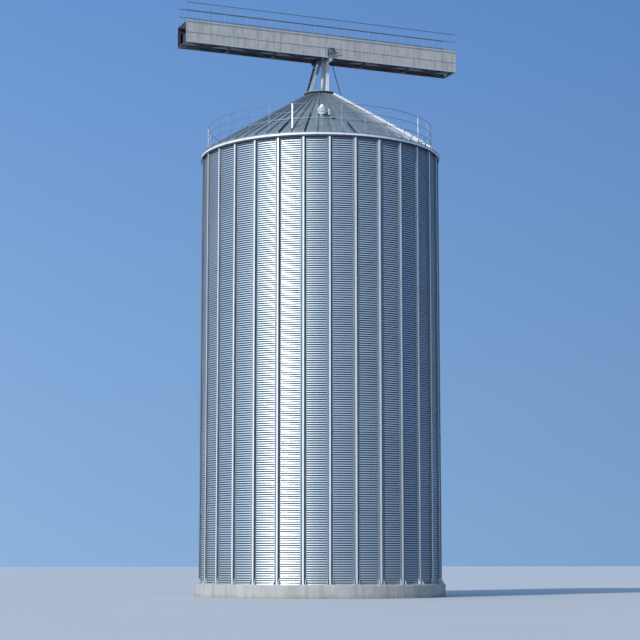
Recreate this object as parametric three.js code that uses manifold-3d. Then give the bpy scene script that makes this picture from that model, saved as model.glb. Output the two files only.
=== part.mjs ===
// Grain silo: corrugated steel wall on a round concrete plinth, ribbed cone roof,
// and six bays of the conveyor bridge that stands on its peak.
// Millimetres, +Z up, origin on the ground at the silo's axis, +X along the bridge.
import * as THREE from 'three';
import { mergeVertices } from 'three/addons/utils/BufferGeometryUtils.js';
import Module from 'manifold-3d';

const wasm = await Module();
wasm.setup();

// Driving dimensions
const GAP = 0.3;
const FACETS = 60;
const WALL_RADIUS = 5730;
const WALL_DEPTH = 20;
const SHEET_RINGS = 18;
const SHEET_RING_HEIGHT = 1144;
const PLINTH_RADIUS = 5980;
const PLINTH_INNER_RADIUS = 5330;
const PLINTH_HEIGHT = 600;
const FLOOR_HEIGHT = 560;
const BASE_RING_THICKNESS = 14;
const BASE_RING_INNER = 5640;
const BASE_RING_OUTER = 5930;

const WALL_SECTORS = 10;
const STIFFENERS_PER_SECTOR = 3;
const STIFFENER_BASE = 220;
const STIFFENER_CROWN = 84;
const STIFFENER_DEPTH = 70;

const LIP_RADIUS = 5848;
const LIP_THICKNESS = 12;
const LIP_HEIGHT = 60;
const EAVE_SEAT_INNER = 5705;
const EAVE_PLATE = 10;

const ROOF_SLOPE = THREE.MathUtils.degToRad(31.5);
const ROOF_SECTORS = 6;
const ROOF_EDGE_RADIUS = 5866;
const ROOF_SHEET = 24;
const RIB_HEIGHT = 70;
const RIB_STEP = 6;
const RIB_BASE_EAVE = 50;
const RIB_CROWN_EAVE = 30;
const RIB_BASE_PEAK = 24;
const RIB_CROWN_PEAK = 14;
const LAP_RING_RADIUS = 4270;
const LAP_RING_WIDTH = 90;
const LAP_RING_THICKNESS = 12;
// What is faceted in whole steps stands this clear of the corners of ribs and sheets
const FACET_SEAT = 1.5;

const COLLAR_RADIUS = 730;
const COLLAR_THICKNESS = 30;
const COLLAR_RISE = 152;
const COLLAR_FLANGE_RADIUS = 800;
const COLLAR_FLANGE = 56;
const LID_THICKNESS = 14;

const RAIL_RADIUS = 5500;
const RAIL_PANELS = 5;
const RAIL_FIRST_POST = -126;
const RAIL_HEIGHTS = [330, 740, 1150];
const RAIL_BAR = 40;
const POST_WIDTH = 45;
const GATE_POST_WIDTH = 80;

const LADDER_ANGLE = -57;
const LADDER_WIDTH = 440;
const LADDER_STRINGER = 50;
const LADDER_RUNG = 40;
const LADDER_RUNG_PITCH = 300;
const LADDER_THICKNESS = 90;
const LADDER_TOP_RADIUS = 930;
const LADDER_FOOT_RADIUS = 5780;

const VENT_ANGLE = -111;
const VENT_RADIUS = 3700;
const VENT_NECK = 140;
const VENT_BODY = 200;
const VENT_SHOULDER = 330;
const VENT_CAP = [[165, 400], [75, 440], [60, 450], [58, 495], [40, 515]];
const VENT_TOP = 520;
const VENT_FACETS = 24;
// The vent's body starts this far over the sheet, clear of the ribs beside it
const VENT_CLEARANCE = 95;

const BAYS = 6;
const BAY = 2400;
const BRIDGE_WIDTH = 1300;
const GIRDER_HEIGHT = 1000;
const GIRDER_WEB = 8;
const GIRDER_FLANGE = 80;
const GIRDER_FLANGE_THICKNESS = 10;
const GIRDER_LEDGE = 22;
const BRIDGE_CLEARANCE = 1714;
const FLOOR_FRAME_DEPTH = 60;
const FLOOR_BAR = 80;
const FLOOR_BRACE = 60;
const FLOOR_BRACE_DEPTH = 40;
const FLOOR_BRACE_RISE = 10;
const CASING_WIDTH = 400;
const CASING_HEIGHT = 460;
const DECK_THICKNESS = 30;
const BRIDGE_RAIL_HEIGHT = 960;
const BRIDGE_RAIL_BAR = 40;
const TOE_BOARD = 100;

const LEFT_FOOT_X = -550;
const LEFT_TOP_X = -120;
const LEFT_LEG_Y = 370;
const LEFT_LEG_WIDTH = 100;
const COLUMN_X = 320;
const COLUMN_Y = 150;
const COLUMN_WIDTH = 150;
const COLUMN_FOOT = 190;
const COLUMN_FOOT_PLATE = 30;
const COLUMN_FOOT_HEIGHT = 240;
const BEAM_WIDTH = 140;
const BEAM_DEPTH = 120;
const SPOUT_X = 140;
const SPOUT_CORNER_RADIUS = 100;
const SPOUT_WALL = 10;
const SPOUT_SIDES = 6;
const INLET_HALF_WIDTH = 60;
const STAY_TOP_X = 600;
const STAY_FOOT_X = 1240;
const STAY_WIDTH = 40;
const GATE_X = 300;
const GATE_RISE = 290;
const GATE_RADIUS = 130;
const GATE_LENGTH = 110;
const GATE_FACETS = 20;
const GATE_PLATE_WIDTH = 360;
const GATE_PLATE_HEIGHT = 420;
const GATE_PLATE = 12;

// Levels worked out from the driving dimensions
const BASE_RING_TOP = PLINTH_HEIGHT + GAP + BASE_RING_THICKNESS;
const WALL_FOOT = BASE_RING_TOP + GAP;
const EAVE = WALL_FOOT + SHEET_RINGS * SHEET_RING_HEIGHT;
const EAVE_SEAT = EAVE + GAP;
const ROOF_SEAT = EAVE_SEAT + LIP_HEIGHT + GAP;
const RIB_TOP = ROOF_SHEET + RIB_HEIGHT;
const ROOF_PEAK = roofZ(COLLAR_RADIUS);
const FLANGE_TOP = ROOF_PEAK + COLLAR_RISE;
const LID_TOP = FLANGE_TOP + GAP + LID_THICKNESS;
const BRIDGE_BOTTOM = LID_TOP + BRIDGE_CLEARANCE;
const FLOOR_FRAME_BOTTOM = BRIDGE_BOTTOM + GIRDER_FLANGE_THICKNESS + GAP;
const CASING_BOTTOM = FLOOR_FRAME_BOTTOM + FLOOR_FRAME_DEPTH + GAP;
const DECK_BOTTOM = BRIDGE_BOTTOM + GIRDER_HEIGHT + GAP;
const RAIL_FOOT = DECK_BOTTOM + DECK_THICKNESS + GAP;
const BRIDGE_LENGTH = BAYS * BAY;

// Colours and finishes
const GALVANISED = { color: 0xaab4bb, roughness: 0.38, metalness: 0.85 };
const GALVANISED_ROOF = { color: 0x8a999f, roughness: 0.5, metalness: 0.7 };
const GALVANISED_BRIGHT = { color: 0xd4d8da, roughness: 0.42, metalness: 0.6 };
const WEATHERED_STEEL = { color: 0x9a9f9c, roughness: 0.6, metalness: 0.45 };
const DARK_STEEL = { color: 0x3b4350, roughness: 0.65, metalness: 0.3 };
const CONCRETE = { color: 0xa9a59c, roughness: 0.92, metalness: 0 };
const WHITE_PAINT = { color: 0xeceff0, roughness: 0.45, metalness: 0.05 };

const silo = new THREE.Group();

// Height of the roof's underside at a distance from the axis
function roofZ(radius) {
  return ROOF_SEAT + (LIP_RADIUS - radius) * Math.tan(ROOF_SLOPE);
}

function radians(degrees) {
  return THREE.MathUtils.degToRad(degrees);
}

function polar(radius, degrees, z) {
  const angle = radians(degrees);
  return new THREE.Vector3(radius * Math.cos(angle), radius * Math.sin(angle), z);
}

// Keeps positions only, joins equal vertices and turns every face outwards
function cleaned(geometry) {
  const bare = new THREE.BufferGeometry();
  bare.setAttribute('position', geometry.getAttribute('position').clone());
  if (geometry.index) bare.setIndex(geometry.index.clone());
  const merged = mergeVertices(bare, 1e-3);
  const position = merged.getAttribute('position');
  const source = merged.index.array;
  const corners = [new THREE.Vector3(), new THREE.Vector3(), new THREE.Vector3()];
  const kept = [];
  let volume = 0;
  for (let i = 0; i < source.length; i += 3) {
    const face = [source[i], source[i + 1], source[i + 2]];
    if (face[0] === face[1] || face[1] === face[2] || face[0] === face[2]) continue;
    kept.push(...face);
    face.forEach((vertex, k) => corners[k].fromBufferAttribute(position, vertex));
    volume += corners[0].dot(corners[1].clone().cross(corners[2]));
  }
  if (volume < 0) kept.reverse();
  merged.setIndex(kept);
  merged.computeVertexNormals();
  return merged;
}

function toManifold(geometry) {
  const solid = cleaned(geometry);
  return new wasm.Manifold(new wasm.Mesh({
    numProp: 3,
    vertProperties: new Float32Array(solid.getAttribute('position').array),
    triVerts: new Uint32Array(solid.index.array),
  }));
}

function fromManifold(manifold) {
  const mesh = manifold.getMesh();
  const geometry = new THREE.BufferGeometry();
  geometry.setAttribute('position', new THREE.BufferAttribute(mesh.vertProperties, 3));
  geometry.setIndex(new THREE.BufferAttribute(mesh.triVerts, 1));
  return geometry;
}

function joined(geometries) {
  return fromManifold(geometries.map(toManifold).reduce((sum, next) => sum.add(next)));
}

function add(name, geometry, finish) {
  const mesh = new THREE.Mesh(cleaned(geometry), new THREE.MeshStandardMaterial(finish));
  mesh.name = name;
  silo.add(mesh);
  return mesh;
}

// Upright prism of a flat outline, with optional holes
function prism(outline, bottom, height, holes = []) {
  const shape = new THREE.Shape(outline.map(([x, y]) => new THREE.Vector2(x, y)));
  for (const hole of holes) {
    shape.holes.push(new THREE.Path(hole.map(([x, y]) => new THREE.Vector2(x, y))));
  }
  const geometry = new THREE.ExtrudeGeometry(shape, { depth: height, bevelEnabled: false });
  return geometry.translate(0, 0, bottom);
}

function circle(radius, facets = FACETS, x = 0, y = 0) {
  const points = [];
  for (let i = 0; i < facets; i++) {
    const angle = (i * 2 * Math.PI) / facets;
    points.push([x + radius * Math.cos(angle), y + radius * Math.sin(angle)]);
  }
  return points;
}

function box(width, depth, height, x, y, bottom) {
  return new THREE.BoxGeometry(width, depth, height).translate(x, y, bottom + height / 2);
}

// Ring turned about the silo's axis from a closed profile of [radius, height] points
function turned(profile, facets = FACETS) {
  const closed = [...profile, profile[0]].map(([radius, z]) => new THREE.Vector2(radius, z));
  return new THREE.LatheGeometry(closed, facets).rotateX(Math.PI / 2);
}

// Solid between matching rings of points, closed by a fan at each end
function loft(rings) {
  const count = rings[0].length;
  const position = rings.flat().flatMap((point) => [point.x, point.y, point.z]);
  const index = [];
  for (let level = 0; level + 1 < rings.length; level++) {
    for (let i = 0; i < count; i++) {
      const a = level * count + i;
      const b = level * count + ((i + 1) % count);
      index.push(a, b, b + count, a, b + count, a + count);
    }
  }
  const last = (rings.length - 1) * count;
  for (let i = 1; i + 1 < count; i++) {
    index.push(0, i + 1, i);
    index.push(last, last + i, last + i + 1);
  }
  const geometry = new THREE.BufferGeometry();
  geometry.setAttribute('position', new THREE.Float32BufferAttribute(position, 3));
  geometry.setIndex(index);
  return geometry;
}

function square(x, y, z, width) {
  const half = width / 2;
  return [[-half, -half], [half, -half], [half, half], [-half, half]].map(
    ([dx, dy]) => new THREE.Vector3(x + dx, y + dy, z));
}

// Plinth, floor and the ring that the wall stands on
function foundation() {
  const inner = circle(PLINTH_INNER_RADIUS);
  add('foundation_ring', prism(circle(PLINTH_RADIUS), 0, PLINTH_HEIGHT, [inner]), CONCRETE);
  add('floor_slab', prism(circle(PLINTH_INNER_RADIUS - GAP), 0, FLOOR_HEIGHT), CONCRETE);
  add('base_ring', prism(circle(BASE_RING_OUTER), PLINTH_HEIGHT + GAP, BASE_RING_THICKNESS,
    [circle(BASE_RING_INNER)]), GALVANISED);
}

// Outline of a wall sector with its hat-shaped stiffeners, about the angle zero
function wallOutline() {
  const outer = WALL_RADIUS + WALL_DEPTH / 2;
  const inner = WALL_RADIUS - WALL_DEPTH / 2;
  const half = 180 / WALL_SECTORS;
  const spacing = (2 * half) / STIFFENERS_PER_SECTOR;
  const facet = 360 / FACETS;
  const trim = THREE.MathUtils.radToDeg(GAP / 2 / inner);
  const baseHalf = THREE.MathUtils.radToDeg(STIFFENER_BASE / 2 / outer);
  const crownHalf = THREE.MathUtils.radToDeg(STIFFENER_CROWN / 2 / outer);
  const crown = outer + STIFFENER_DEPTH;
  const points = [];
  const put = (radius, degrees) => {
    const point = polar(radius, degrees, 0);
    points.push([point.x, point.y]);
  };
  put(outer, -half + trim);
  for (let angle = -half + facet; angle < half - facet / 2; angle += facet) {
    const carries = Math.abs((angle / spacing) - Math.round(angle / spacing)) < 0.01;
    if (carries) {
      put(outer, angle - baseHalf);
      put(crown, angle - crownHalf);
      put(crown, angle + crownHalf);
      put(outer, angle + baseHalf);
    } else {
      put(outer, angle);
    }
  }
  put(outer, half - trim);
  put(inner, half - trim);
  for (let angle = half - facet; angle > -half + facet / 2; angle -= facet) put(inner, angle);
  put(inner, -half + trim);
  return points;
}

function wall() {
  const outline = wallOutline();
  const step = 360 / WALL_SECTORS;
  for (let i = 0; i < WALL_SECTORS; i++) {
    const name = `wall_sector_${String(i + 1).padStart(2, '0')}`;
    const sector = add(name, prism(outline, 0, EAVE - WALL_FOOT), GALVANISED);
    sector.position.z = WALL_FOOT;
    sector.rotation.z = radians(i * step);
  }
}

function eave() {
  const inside = LIP_RADIUS - LIP_THICKNESS;
  add('eave_ring', turned([
    [EAVE_SEAT_INNER, EAVE_SEAT],
    [inside, EAVE_SEAT],
    [inside, EAVE_SEAT - LIP_HEIGHT],
    [LIP_RADIUS, EAVE_SEAT - LIP_HEIGHT],
    [LIP_RADIUS, EAVE_SEAT + LIP_HEIGHT],
    [inside, EAVE_SEAT + LIP_HEIGHT],
    [inside, EAVE_SEAT + EAVE_PLATE],
    [EAVE_SEAT_INNER, EAVE_SEAT + EAVE_PLATE],
  ]), GALVANISED_BRIGHT);
}

// Section of a ribbed roof sector at one radius: [degrees, height over the underside]
function roofSection(radius, ribBase, ribCrown, ribs) {
  const trim = THREE.MathUtils.radToDeg(GAP / 2 / radius);
  const base = THREE.MathUtils.radToDeg(ribBase / radius);
  const crown = THREE.MathUtils.radToDeg(ribCrown / radius);
  const section = [[-RIB_STEP / 2 + trim, ROOF_SHEET]];
  for (let i = 0; i < ribs; i++) {
    const angle = i * RIB_STEP;
    section.push([angle - base, ROOF_SHEET], [angle - crown, RIB_TOP]);
    section.push([angle + crown, RIB_TOP], [angle + base, ROOF_SHEET]);
  }
  section.push([(ribs - 0.5) * RIB_STEP - trim, ROOF_SHEET]);
  return section;
}

// Sheet between two radii: upper and lower points pair up, so each end closes as a strip
function roofSectorGeometry() {
  const ribs = 360 / ROOF_SECTORS / RIB_STEP;
  const ends = [
    [ROOF_EDGE_RADIUS, roofSection(ROOF_EDGE_RADIUS, RIB_BASE_EAVE, RIB_CROWN_EAVE, ribs)],
    [COLLAR_RADIUS + GAP, roofSection(COLLAR_RADIUS + GAP, RIB_BASE_PEAK, RIB_CROWN_PEAK, ribs)],
  ];
  const position = [];
  for (const [radius, section] of ends) {
    for (const top of [true, false]) {
      for (const [degrees, height] of section) {
        const point = polar(radius, degrees, roofZ(radius) + (top ? height : 0));
        position.push(point.x, point.y, point.z);
      }
    }
  }
  const n = ends[0][1].length;
  const index = [];
  const quad = (a, b, c, d) => index.push(a, b, c, a, c, d);
  for (let i = 0; i + 1 < n; i++) {
    quad(i, i + 1, 2 * n + i + 1, 2 * n + i);
    quad(n + i + 1, n + i, 3 * n + i, 3 * n + i + 1);
    quad(i + 1, i, n + i, n + i + 1);
    quad(2 * n + i, 2 * n + i + 1, 3 * n + i + 1, 3 * n + i);
  }
  quad(n, 0, 2 * n, 3 * n);
  quad(n - 1, 2 * n - 1, 4 * n - 1, 3 * n - 1);
  const geometry = new THREE.BufferGeometry();
  geometry.setAttribute('position', new THREE.Float32BufferAttribute(position, 3));
  geometry.setIndex(index);
  return geometry;
}

function roof() {
  const geometry = roofSectorGeometry();
  for (let i = 0; i < ROOF_SECTORS; i++) {
    const sector = add(`roof_sector_${i + 1}`, geometry, GALVANISED_ROOF);
    sector.rotation.z = radians((i * 360) / ROOF_SECTORS);
  }
  const inner = LAP_RING_RADIUS - LAP_RING_WIDTH / 2;
  const outer = LAP_RING_RADIUS + LAP_RING_WIDTH / 2;
  const lift = RIB_TOP + FACET_SEAT;
  add('roof_lap_ring', turned([
    [inner, roofZ(inner) + lift],
    [outer, roofZ(outer) + lift],
    [outer, roofZ(outer) + lift + LAP_RING_THICKNESS],
    [inner, roofZ(inner) + lift + LAP_RING_THICKNESS],
  ]), GALVANISED_BRIGHT);
}

function peak() {
  const inside = COLLAR_RADIUS - COLLAR_THICKNESS;
  const flangeUnder = FLANGE_TOP - COLLAR_FLANGE;
  add('peak_ring', turned([
    [inside, ROOF_PEAK - COLLAR_RISE],
    [COLLAR_RADIUS, ROOF_PEAK - COLLAR_RISE],
    [COLLAR_RADIUS, flangeUnder],
    [COLLAR_FLANGE_RADIUS, flangeUnder],
    [COLLAR_FLANGE_RADIUS, FLANGE_TOP],
    [inside, FLANGE_TOP],
  ]), WEATHERED_STEEL);
  // Four cover plates leave a square inlet open below the spout
  const cover = toManifold(prism(circle(COLLAR_FLANGE_RADIUS), FLANGE_TOP + GAP, LID_THICKNESS));
  const edge = COLLAR_FLANGE_RADIUS + GAP;
  const left = SPOUT_X - INLET_HALF_WIDTH;
  const right = SPOUT_X + INLET_HALF_WIDTH;
  const plate = (name, x0, x1, y0, y1) => {
    const cut = box(x1 - x0, y1 - y0, 3 * LID_THICKNESS, (x0 + x1) / 2, (y0 + y1) / 2,
      FLANGE_TOP - LID_THICKNESS);
    add(name, fromManifold(cover.intersect(toManifold(cut))), WEATHERED_STEEL);
  };
  plate('peak_lid_left', -edge, left, -edge, edge);
  plate('peak_lid_right', right, edge, -edge, edge);
  plate('peak_lid_near', left + GAP, right - GAP, -edge, -INLET_HALF_WIDTH);
  plate('peak_lid_far', left + GAP, right - GAP, INLET_HALF_WIDTH, edge);
}

// Ladder lying up the roof, in the plane of two neighbouring ribs
function ladder() {
  const run = (LADDER_FOOT_RADIUS - LADDER_TOP_RADIUS) / Math.cos(ROOF_SLOPE);
  const stringerY = (LADDER_WIDTH - LADDER_STRINGER) / 2;
  const bars = [-1, 1].map((side) =>
    box(run, LADDER_STRINGER, LADDER_THICKNESS, run / 2, side * stringerY, 0));
  const rungs = Math.floor(run / LADDER_RUNG_PITCH);
  for (let i = 0; i < rungs; i++) {
    const x = ((i + 0.5) * run) / rungs;
    bars.push(box(LADDER_RUNG, 2 * stringerY, LADDER_RUNG, x, 0, (LADDER_THICKNESS - LADDER_RUNG) / 2));
  }
  // Between two ribs the roof falls a little more steeply than along a rib
  const facetSlope = Math.atan(Math.tan(ROOF_SLOPE) / Math.cos(radians(RIB_STEP / 2)));
  const frame = joined(bars).rotateY(facetSlope);
  const facetRadius = LADDER_TOP_RADIUS / Math.cos(radians(RIB_STEP / 2));
  const lift = RIB_TOP + FACET_SEAT + LAP_RING_THICKNESS + GAP;
  frame.translate(LADDER_TOP_RADIUS, 0, roofZ(facetRadius) + lift);
  add('roof_ladder', frame, GALVANISED_BRIGHT).rotation.z = radians(LADDER_ANGLE);
}

// Round cowl vent on one roof sheet: its neck and the underside of its body follow the roof's slope
function vent() {
  const profile = [
    [0, 0], [VENT_NECK, 0], [VENT_NECK, VENT_CLEARANCE], [VENT_BODY, VENT_CLEARANCE],
    [VENT_BODY, VENT_SHOULDER], ...VENT_CAP, [0, VENT_TOP],
  ].map(([radius, z]) => new THREE.Vector2(radius, z));
  const cowl = new THREE.LatheGeometry(profile, VENT_FACETS).rotateX(Math.PI / 2);
  const position = cowl.getAttribute('position');
  for (let i = 0; i < position.count; i++) {
    const z = position.getZ(i);
    if (z < VENT_CLEARANCE + 1) position.setZ(i, z - position.getX(i) * Math.tan(ROOF_SLOPE));
  }
  const facetRadius = VENT_RADIUS / Math.cos(radians(RIB_STEP / 2));
  cowl.translate(VENT_RADIUS, 0, roofZ(facetRadius) + ROOF_SHEET + FACET_SEAT);
  add('roof_vent', cowl, WHITE_PAINT).rotation.z = radians(VENT_ANGLE);
}

// Post on a roof rib, its foot cut to the rib's slope
function railPost(degrees, width, height) {
  const half = RAIL_BAR / 2;
  const foot = (dx) => roofZ(RAIL_RADIUS + dx) + RIB_TOP + GAP;
  const top = roofZ(RAIL_RADIUS) + RIB_TOP + height;
  const corners = [[-half, -width / 2], [half, -width / 2], [half, width / 2], [-half, width / 2]];
  const ring = (level) => corners.map(([dx, dy]) =>
    new THREE.Vector3(RAIL_RADIUS + dx, dy, level === 'foot' ? foot(dx) : top));
  return loft([ring('foot'), ring('top')]).rotateZ(radians(degrees));
}

function railArc(height, span) {
  const inner = RAIL_RADIUS - RAIL_BAR / 2;
  const outer = RAIL_RADIUS + RAIL_BAR / 2;
  const points = [];
  const steps = Math.round(span / RIB_STEP);
  for (let i = 0; i <= steps; i++) {
    const point = polar(outer, (i * span) / steps, 0);
    points.push([point.x, point.y]);
  }
  for (let i = steps; i >= 0; i--) {
    const point = polar(inner, (i * span) / steps, 0);
    points.push([point.x, point.y]);
  }
  return prism(points, roofZ(RAIL_RADIUS) + RIB_TOP + height - RAIL_BAR, RAIL_BAR);
}

function guardRail() {
  const panel = 360 / RAIL_PANELS;
  const postStep = 2 * RIB_STEP;
  const trim = THREE.MathUtils.radToDeg((GATE_POST_WIDTH / 2 + GAP) / (RAIL_RADIUS - RAIL_BAR / 2));
  const height = RAIL_HEIGHTS[RAIL_HEIGHTS.length - 1];
  const pieces = [railPost(0, GATE_POST_WIDTH, height)];
  for (let angle = postStep; angle < panel - 1; angle += postStep) {
    pieces.push(railPost(angle, POST_WIDTH, height));
  }
  for (const level of RAIL_HEIGHTS) pieces.push(railArc(level, panel - trim));
  const geometry = joined(pieces);
  for (let i = 0; i < RAIL_PANELS; i++) {
    const rail = add(`guard_rail_${i + 1}`, geometry, GALVANISED_BRIGHT);
    rail.rotation.z = radians(RAIL_FIRST_POST + i * panel);
  }
}

// Trestle on the peak: two raking legs and two columns, each pair under its cross beam
function trestle() {
  const foot = LID_TOP + GAP;
  const beamBottom = BRIDGE_BOTTOM - GAP - BEAM_DEPTH;
  const beam = (x) => box(BEAM_WIDTH, BRIDGE_WIDTH, BEAM_DEPTH, x, 0, beamBottom);
  const leg = (y) => loft([
    square(LEFT_FOOT_X, y, foot, LEFT_LEG_WIDTH),
    square(LEFT_TOP_X, y, beamBottom + BEAM_DEPTH / 2, LEFT_LEG_WIDTH),
  ]);
  const column = (y) => loft([
    square(COLUMN_X, y, foot, COLUMN_FOOT),
    square(COLUMN_X, y, foot + COLUMN_FOOT_PLATE, COLUMN_FOOT),
    square(COLUMN_X, y, foot + COLUMN_FOOT_HEIGHT, COLUMN_WIDTH),
    square(COLUMN_X, y, beamBottom, COLUMN_WIDTH),
    square(COLUMN_X, y, beamBottom + BEAM_DEPTH / 2, BEAM_WIDTH / 2),
  ]);
  add('support_legs_left', joined([leg(-LEFT_LEG_Y), leg(LEFT_LEG_Y), beam(LEFT_TOP_X)]), DARK_STEEL);
  add('support_columns_right', joined([column(-COLUMN_Y), column(COLUMN_Y), beam(COLUMN_X)]),
    WHITE_PAINT);
}

function spout() {
  const bottom = LID_TOP + GAP;
  const outer = circle(SPOUT_CORNER_RADIUS, SPOUT_SIDES);
  const inner = circle(SPOUT_CORNER_RADIUS - SPOUT_WALL, SPOUT_SIDES);
  const pipe = prism(outer, bottom, CASING_BOTTOM - GAP - bottom, [inner]);
  add('grain_spout', pipe.rotateZ(Math.PI / SPOUT_SIDES).translate(SPOUT_X, 0, 0), WEATHERED_STEEL);
}

function stay() {
  const foot = roofZ(STAY_FOOT_X - STAY_WIDTH / 2) + RIB_TOP + GAP;
  add('bridge_stay', loft([
    square(STAY_FOOT_X, 0, foot, STAY_WIDTH),
    square(STAY_TOP_X, 0, CASING_BOTTOM - GAP, STAY_WIDTH),
  ]), WEATHERED_STEEL);
}

// Side girder: web with inward flanges and a ledge at mid height
function girder(name, side) {
  const face = BRIDGE_WIDTH / 2;
  const back = face - GIRDER_WEB;
  const lip = face - GIRDER_FLANGE;
  const low = BRIDGE_BOTTOM;
  const high = BRIDGE_BOTTOM + GIRDER_HEIGHT;
  const middle = low + GIRDER_HEIGHT / 2;
  const flange = GIRDER_FLANGE_THICKNESS;
  const profile = [
    [lip, low], [face, low],
    [face, middle - flange], [face + GIRDER_LEDGE, middle - flange],
    [face + GIRDER_LEDGE, middle], [face, middle],
    [face, high], [lip, high], [lip, high - flange], [back, high - flange],
    [back, low + flange], [lip, low + flange],
  ].map(([y, z]) => [y * side, z]);
  // The outline lies in Y and Z, so it is extruded upwards and then tipped along X
  const girderGeometry = prism(profile, -BRIDGE_LENGTH / 2, BRIDGE_LENGTH);
  const tip = new THREE.Matrix4().makeBasis(
    new THREE.Vector3(0, 1, 0), new THREE.Vector3(0, 0, 1), new THREE.Vector3(1, 0, 0));
  add(name, girderGeometry.applyMatrix4(tip), WEATHERED_STEEL);
}

// Flat lattice under the deck: cross bars at each bay with crossed diagonals between them
function floorFrame() {
  const halfWidth = BRIDGE_WIDTH / 2 - GIRDER_WEB - GAP;
  const halfLength = BRIDGE_LENGTH / 2;
  const edgeY = halfWidth - FLOOR_BAR / 2;
  const bars = [-1, 1].map((side) =>
    box(BRIDGE_LENGTH, FLOOR_BAR, FLOOR_FRAME_DEPTH, 0, side * edgeY, FLOOR_FRAME_BOTTOM));
  for (let i = 0; i <= BAYS; i++) {
    const x = -halfLength + FLOOR_BAR / 2 + (i * (BRIDGE_LENGTH - FLOOR_BAR)) / BAYS;
    bars.push(box(FLOOR_BAR, 2 * edgeY, FLOOR_FRAME_DEPTH, x, 0, FLOOR_FRAME_BOTTOM));
  }
  const diagonal = Math.hypot(BAY - FLOOR_BAR, 2 * edgeY);
  const angle = Math.atan2(2 * edgeY, BAY - FLOOR_BAR);
  const braceBottom = FLOOR_FRAME_BOTTOM + FLOOR_BRACE_RISE;
  for (let i = 0; i < BAYS; i++) {
    const middle = -halfLength + (i + 0.5) * BAY;
    for (const side of [-1, 1]) {
      const brace = box(diagonal, FLOOR_BRACE, FLOOR_BRACE_DEPTH, 0, 0, braceBottom);
      bars.push(brace.rotateZ(side * angle).translate(middle, 0, 0));
    }
  }
  add('bridge_floor_frame', joined(bars), DARK_STEEL);
}

// Guard rail of the bridge: posts at half bays between a toe board and two rails
function bridgeRail(name, side) {
  const bar = BRIDGE_RAIL_BAR;
  const y = side * (BRIDGE_WIDTH / 2 - bar / 2);
  const spaces = BAYS * 2;
  const middle = (TOE_BOARD + BRIDGE_RAIL_HEIGHT) / 2;
  const bars = [
    box(BRIDGE_LENGTH, bar, TOE_BOARD, 0, y, RAIL_FOOT),
    box(BRIDGE_LENGTH, bar, bar, 0, y, RAIL_FOOT + middle),
    box(BRIDGE_LENGTH, bar, bar, 0, y, RAIL_FOOT + BRIDGE_RAIL_HEIGHT - bar),
  ];
  for (let i = 0; i <= spaces; i++) {
    const x = (i / spaces - 0.5) * (BRIDGE_LENGTH - bar);
    bars.push(box(bar, bar, BRIDGE_RAIL_HEIGHT, x, y, RAIL_FOOT));
  }
  add(name, joined(bars), WEATHERED_STEEL);
}

function gateDrive() {
  const face = -BRIDGE_WIDTH / 2 - GIRDER_LEDGE - GAP;
  const low = BRIDGE_BOTTOM + GATE_RISE - GATE_PLATE_HEIGHT / 2;
  const plate = box(GATE_PLATE_WIDTH, GATE_PLATE, GATE_PLATE_HEIGHT, GATE_X, face - GATE_PLATE / 2, low);
  const drum = new THREE.CylinderGeometry(GATE_RADIUS, GATE_RADIUS, GATE_LENGTH, GATE_FACETS);
  drum.translate(GATE_X, face - GATE_PLATE / 2 - GATE_LENGTH / 2, BRIDGE_BOTTOM + GATE_RISE);
  add('gate_drive', joined([plate, drum]), DARK_STEEL);
}

function bridge() {
  girder('bridge_girder_near', -1);
  girder('bridge_girder_far', 1);
  floorFrame();
  add('conveyor_casing', box(BRIDGE_LENGTH, CASING_WIDTH, CASING_HEIGHT, 0, 0, CASING_BOTTOM),
    DARK_STEEL);
  add('bridge_deck', box(BRIDGE_LENGTH, BRIDGE_WIDTH, DECK_THICKNESS, 0, 0, DECK_BOTTOM),
    WEATHERED_STEEL);
  bridgeRail('bridge_rail_near', -1);
  bridgeRail('bridge_rail_far', 1);
  gateDrive();
}

foundation();
wall();
eave();
roof();
peak();
ladder();
vent();
guardRail();
trestle();
spout();
stay();
bridge();

export default silo;
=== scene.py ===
# Looks of the grain silo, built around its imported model.
# Metres, +Z up, origin on the ground at the silo's axis, +X along the conveyor bridge.
import math
from math import cos, pi, radians, sin, tan

import bpy
import numpy as np
from mathutils import Matrix, Vector


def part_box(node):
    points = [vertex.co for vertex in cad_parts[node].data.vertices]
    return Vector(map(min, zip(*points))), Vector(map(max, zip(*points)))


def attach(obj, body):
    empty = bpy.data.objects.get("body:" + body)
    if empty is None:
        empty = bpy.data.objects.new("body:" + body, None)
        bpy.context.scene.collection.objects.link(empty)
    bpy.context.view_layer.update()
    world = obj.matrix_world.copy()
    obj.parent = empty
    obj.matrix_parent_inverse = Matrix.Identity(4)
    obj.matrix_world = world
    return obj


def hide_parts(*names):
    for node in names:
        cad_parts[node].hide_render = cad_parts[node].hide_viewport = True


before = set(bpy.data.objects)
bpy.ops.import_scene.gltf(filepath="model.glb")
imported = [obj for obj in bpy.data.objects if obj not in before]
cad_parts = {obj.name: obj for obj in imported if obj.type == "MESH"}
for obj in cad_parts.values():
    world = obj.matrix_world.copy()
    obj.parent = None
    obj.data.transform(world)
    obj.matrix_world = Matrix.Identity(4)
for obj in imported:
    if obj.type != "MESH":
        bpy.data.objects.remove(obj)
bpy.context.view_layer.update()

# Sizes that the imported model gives
WALL_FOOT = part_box("wall_sector_01")[0].z
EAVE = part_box("wall_sector_01")[1].z
LIP_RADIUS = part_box("eave_ring")[1].x
EAVE_RING_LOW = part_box("eave_ring")[0].z
EAVE_RING_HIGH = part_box("eave_ring")[1].z
BASE_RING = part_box("base_ring")
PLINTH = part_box("foundation_ring")
PEAK_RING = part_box("peak_ring")
LID_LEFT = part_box("peak_lid_left")
LID_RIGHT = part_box("peak_lid_right")
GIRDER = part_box("bridge_girder_near")
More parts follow.
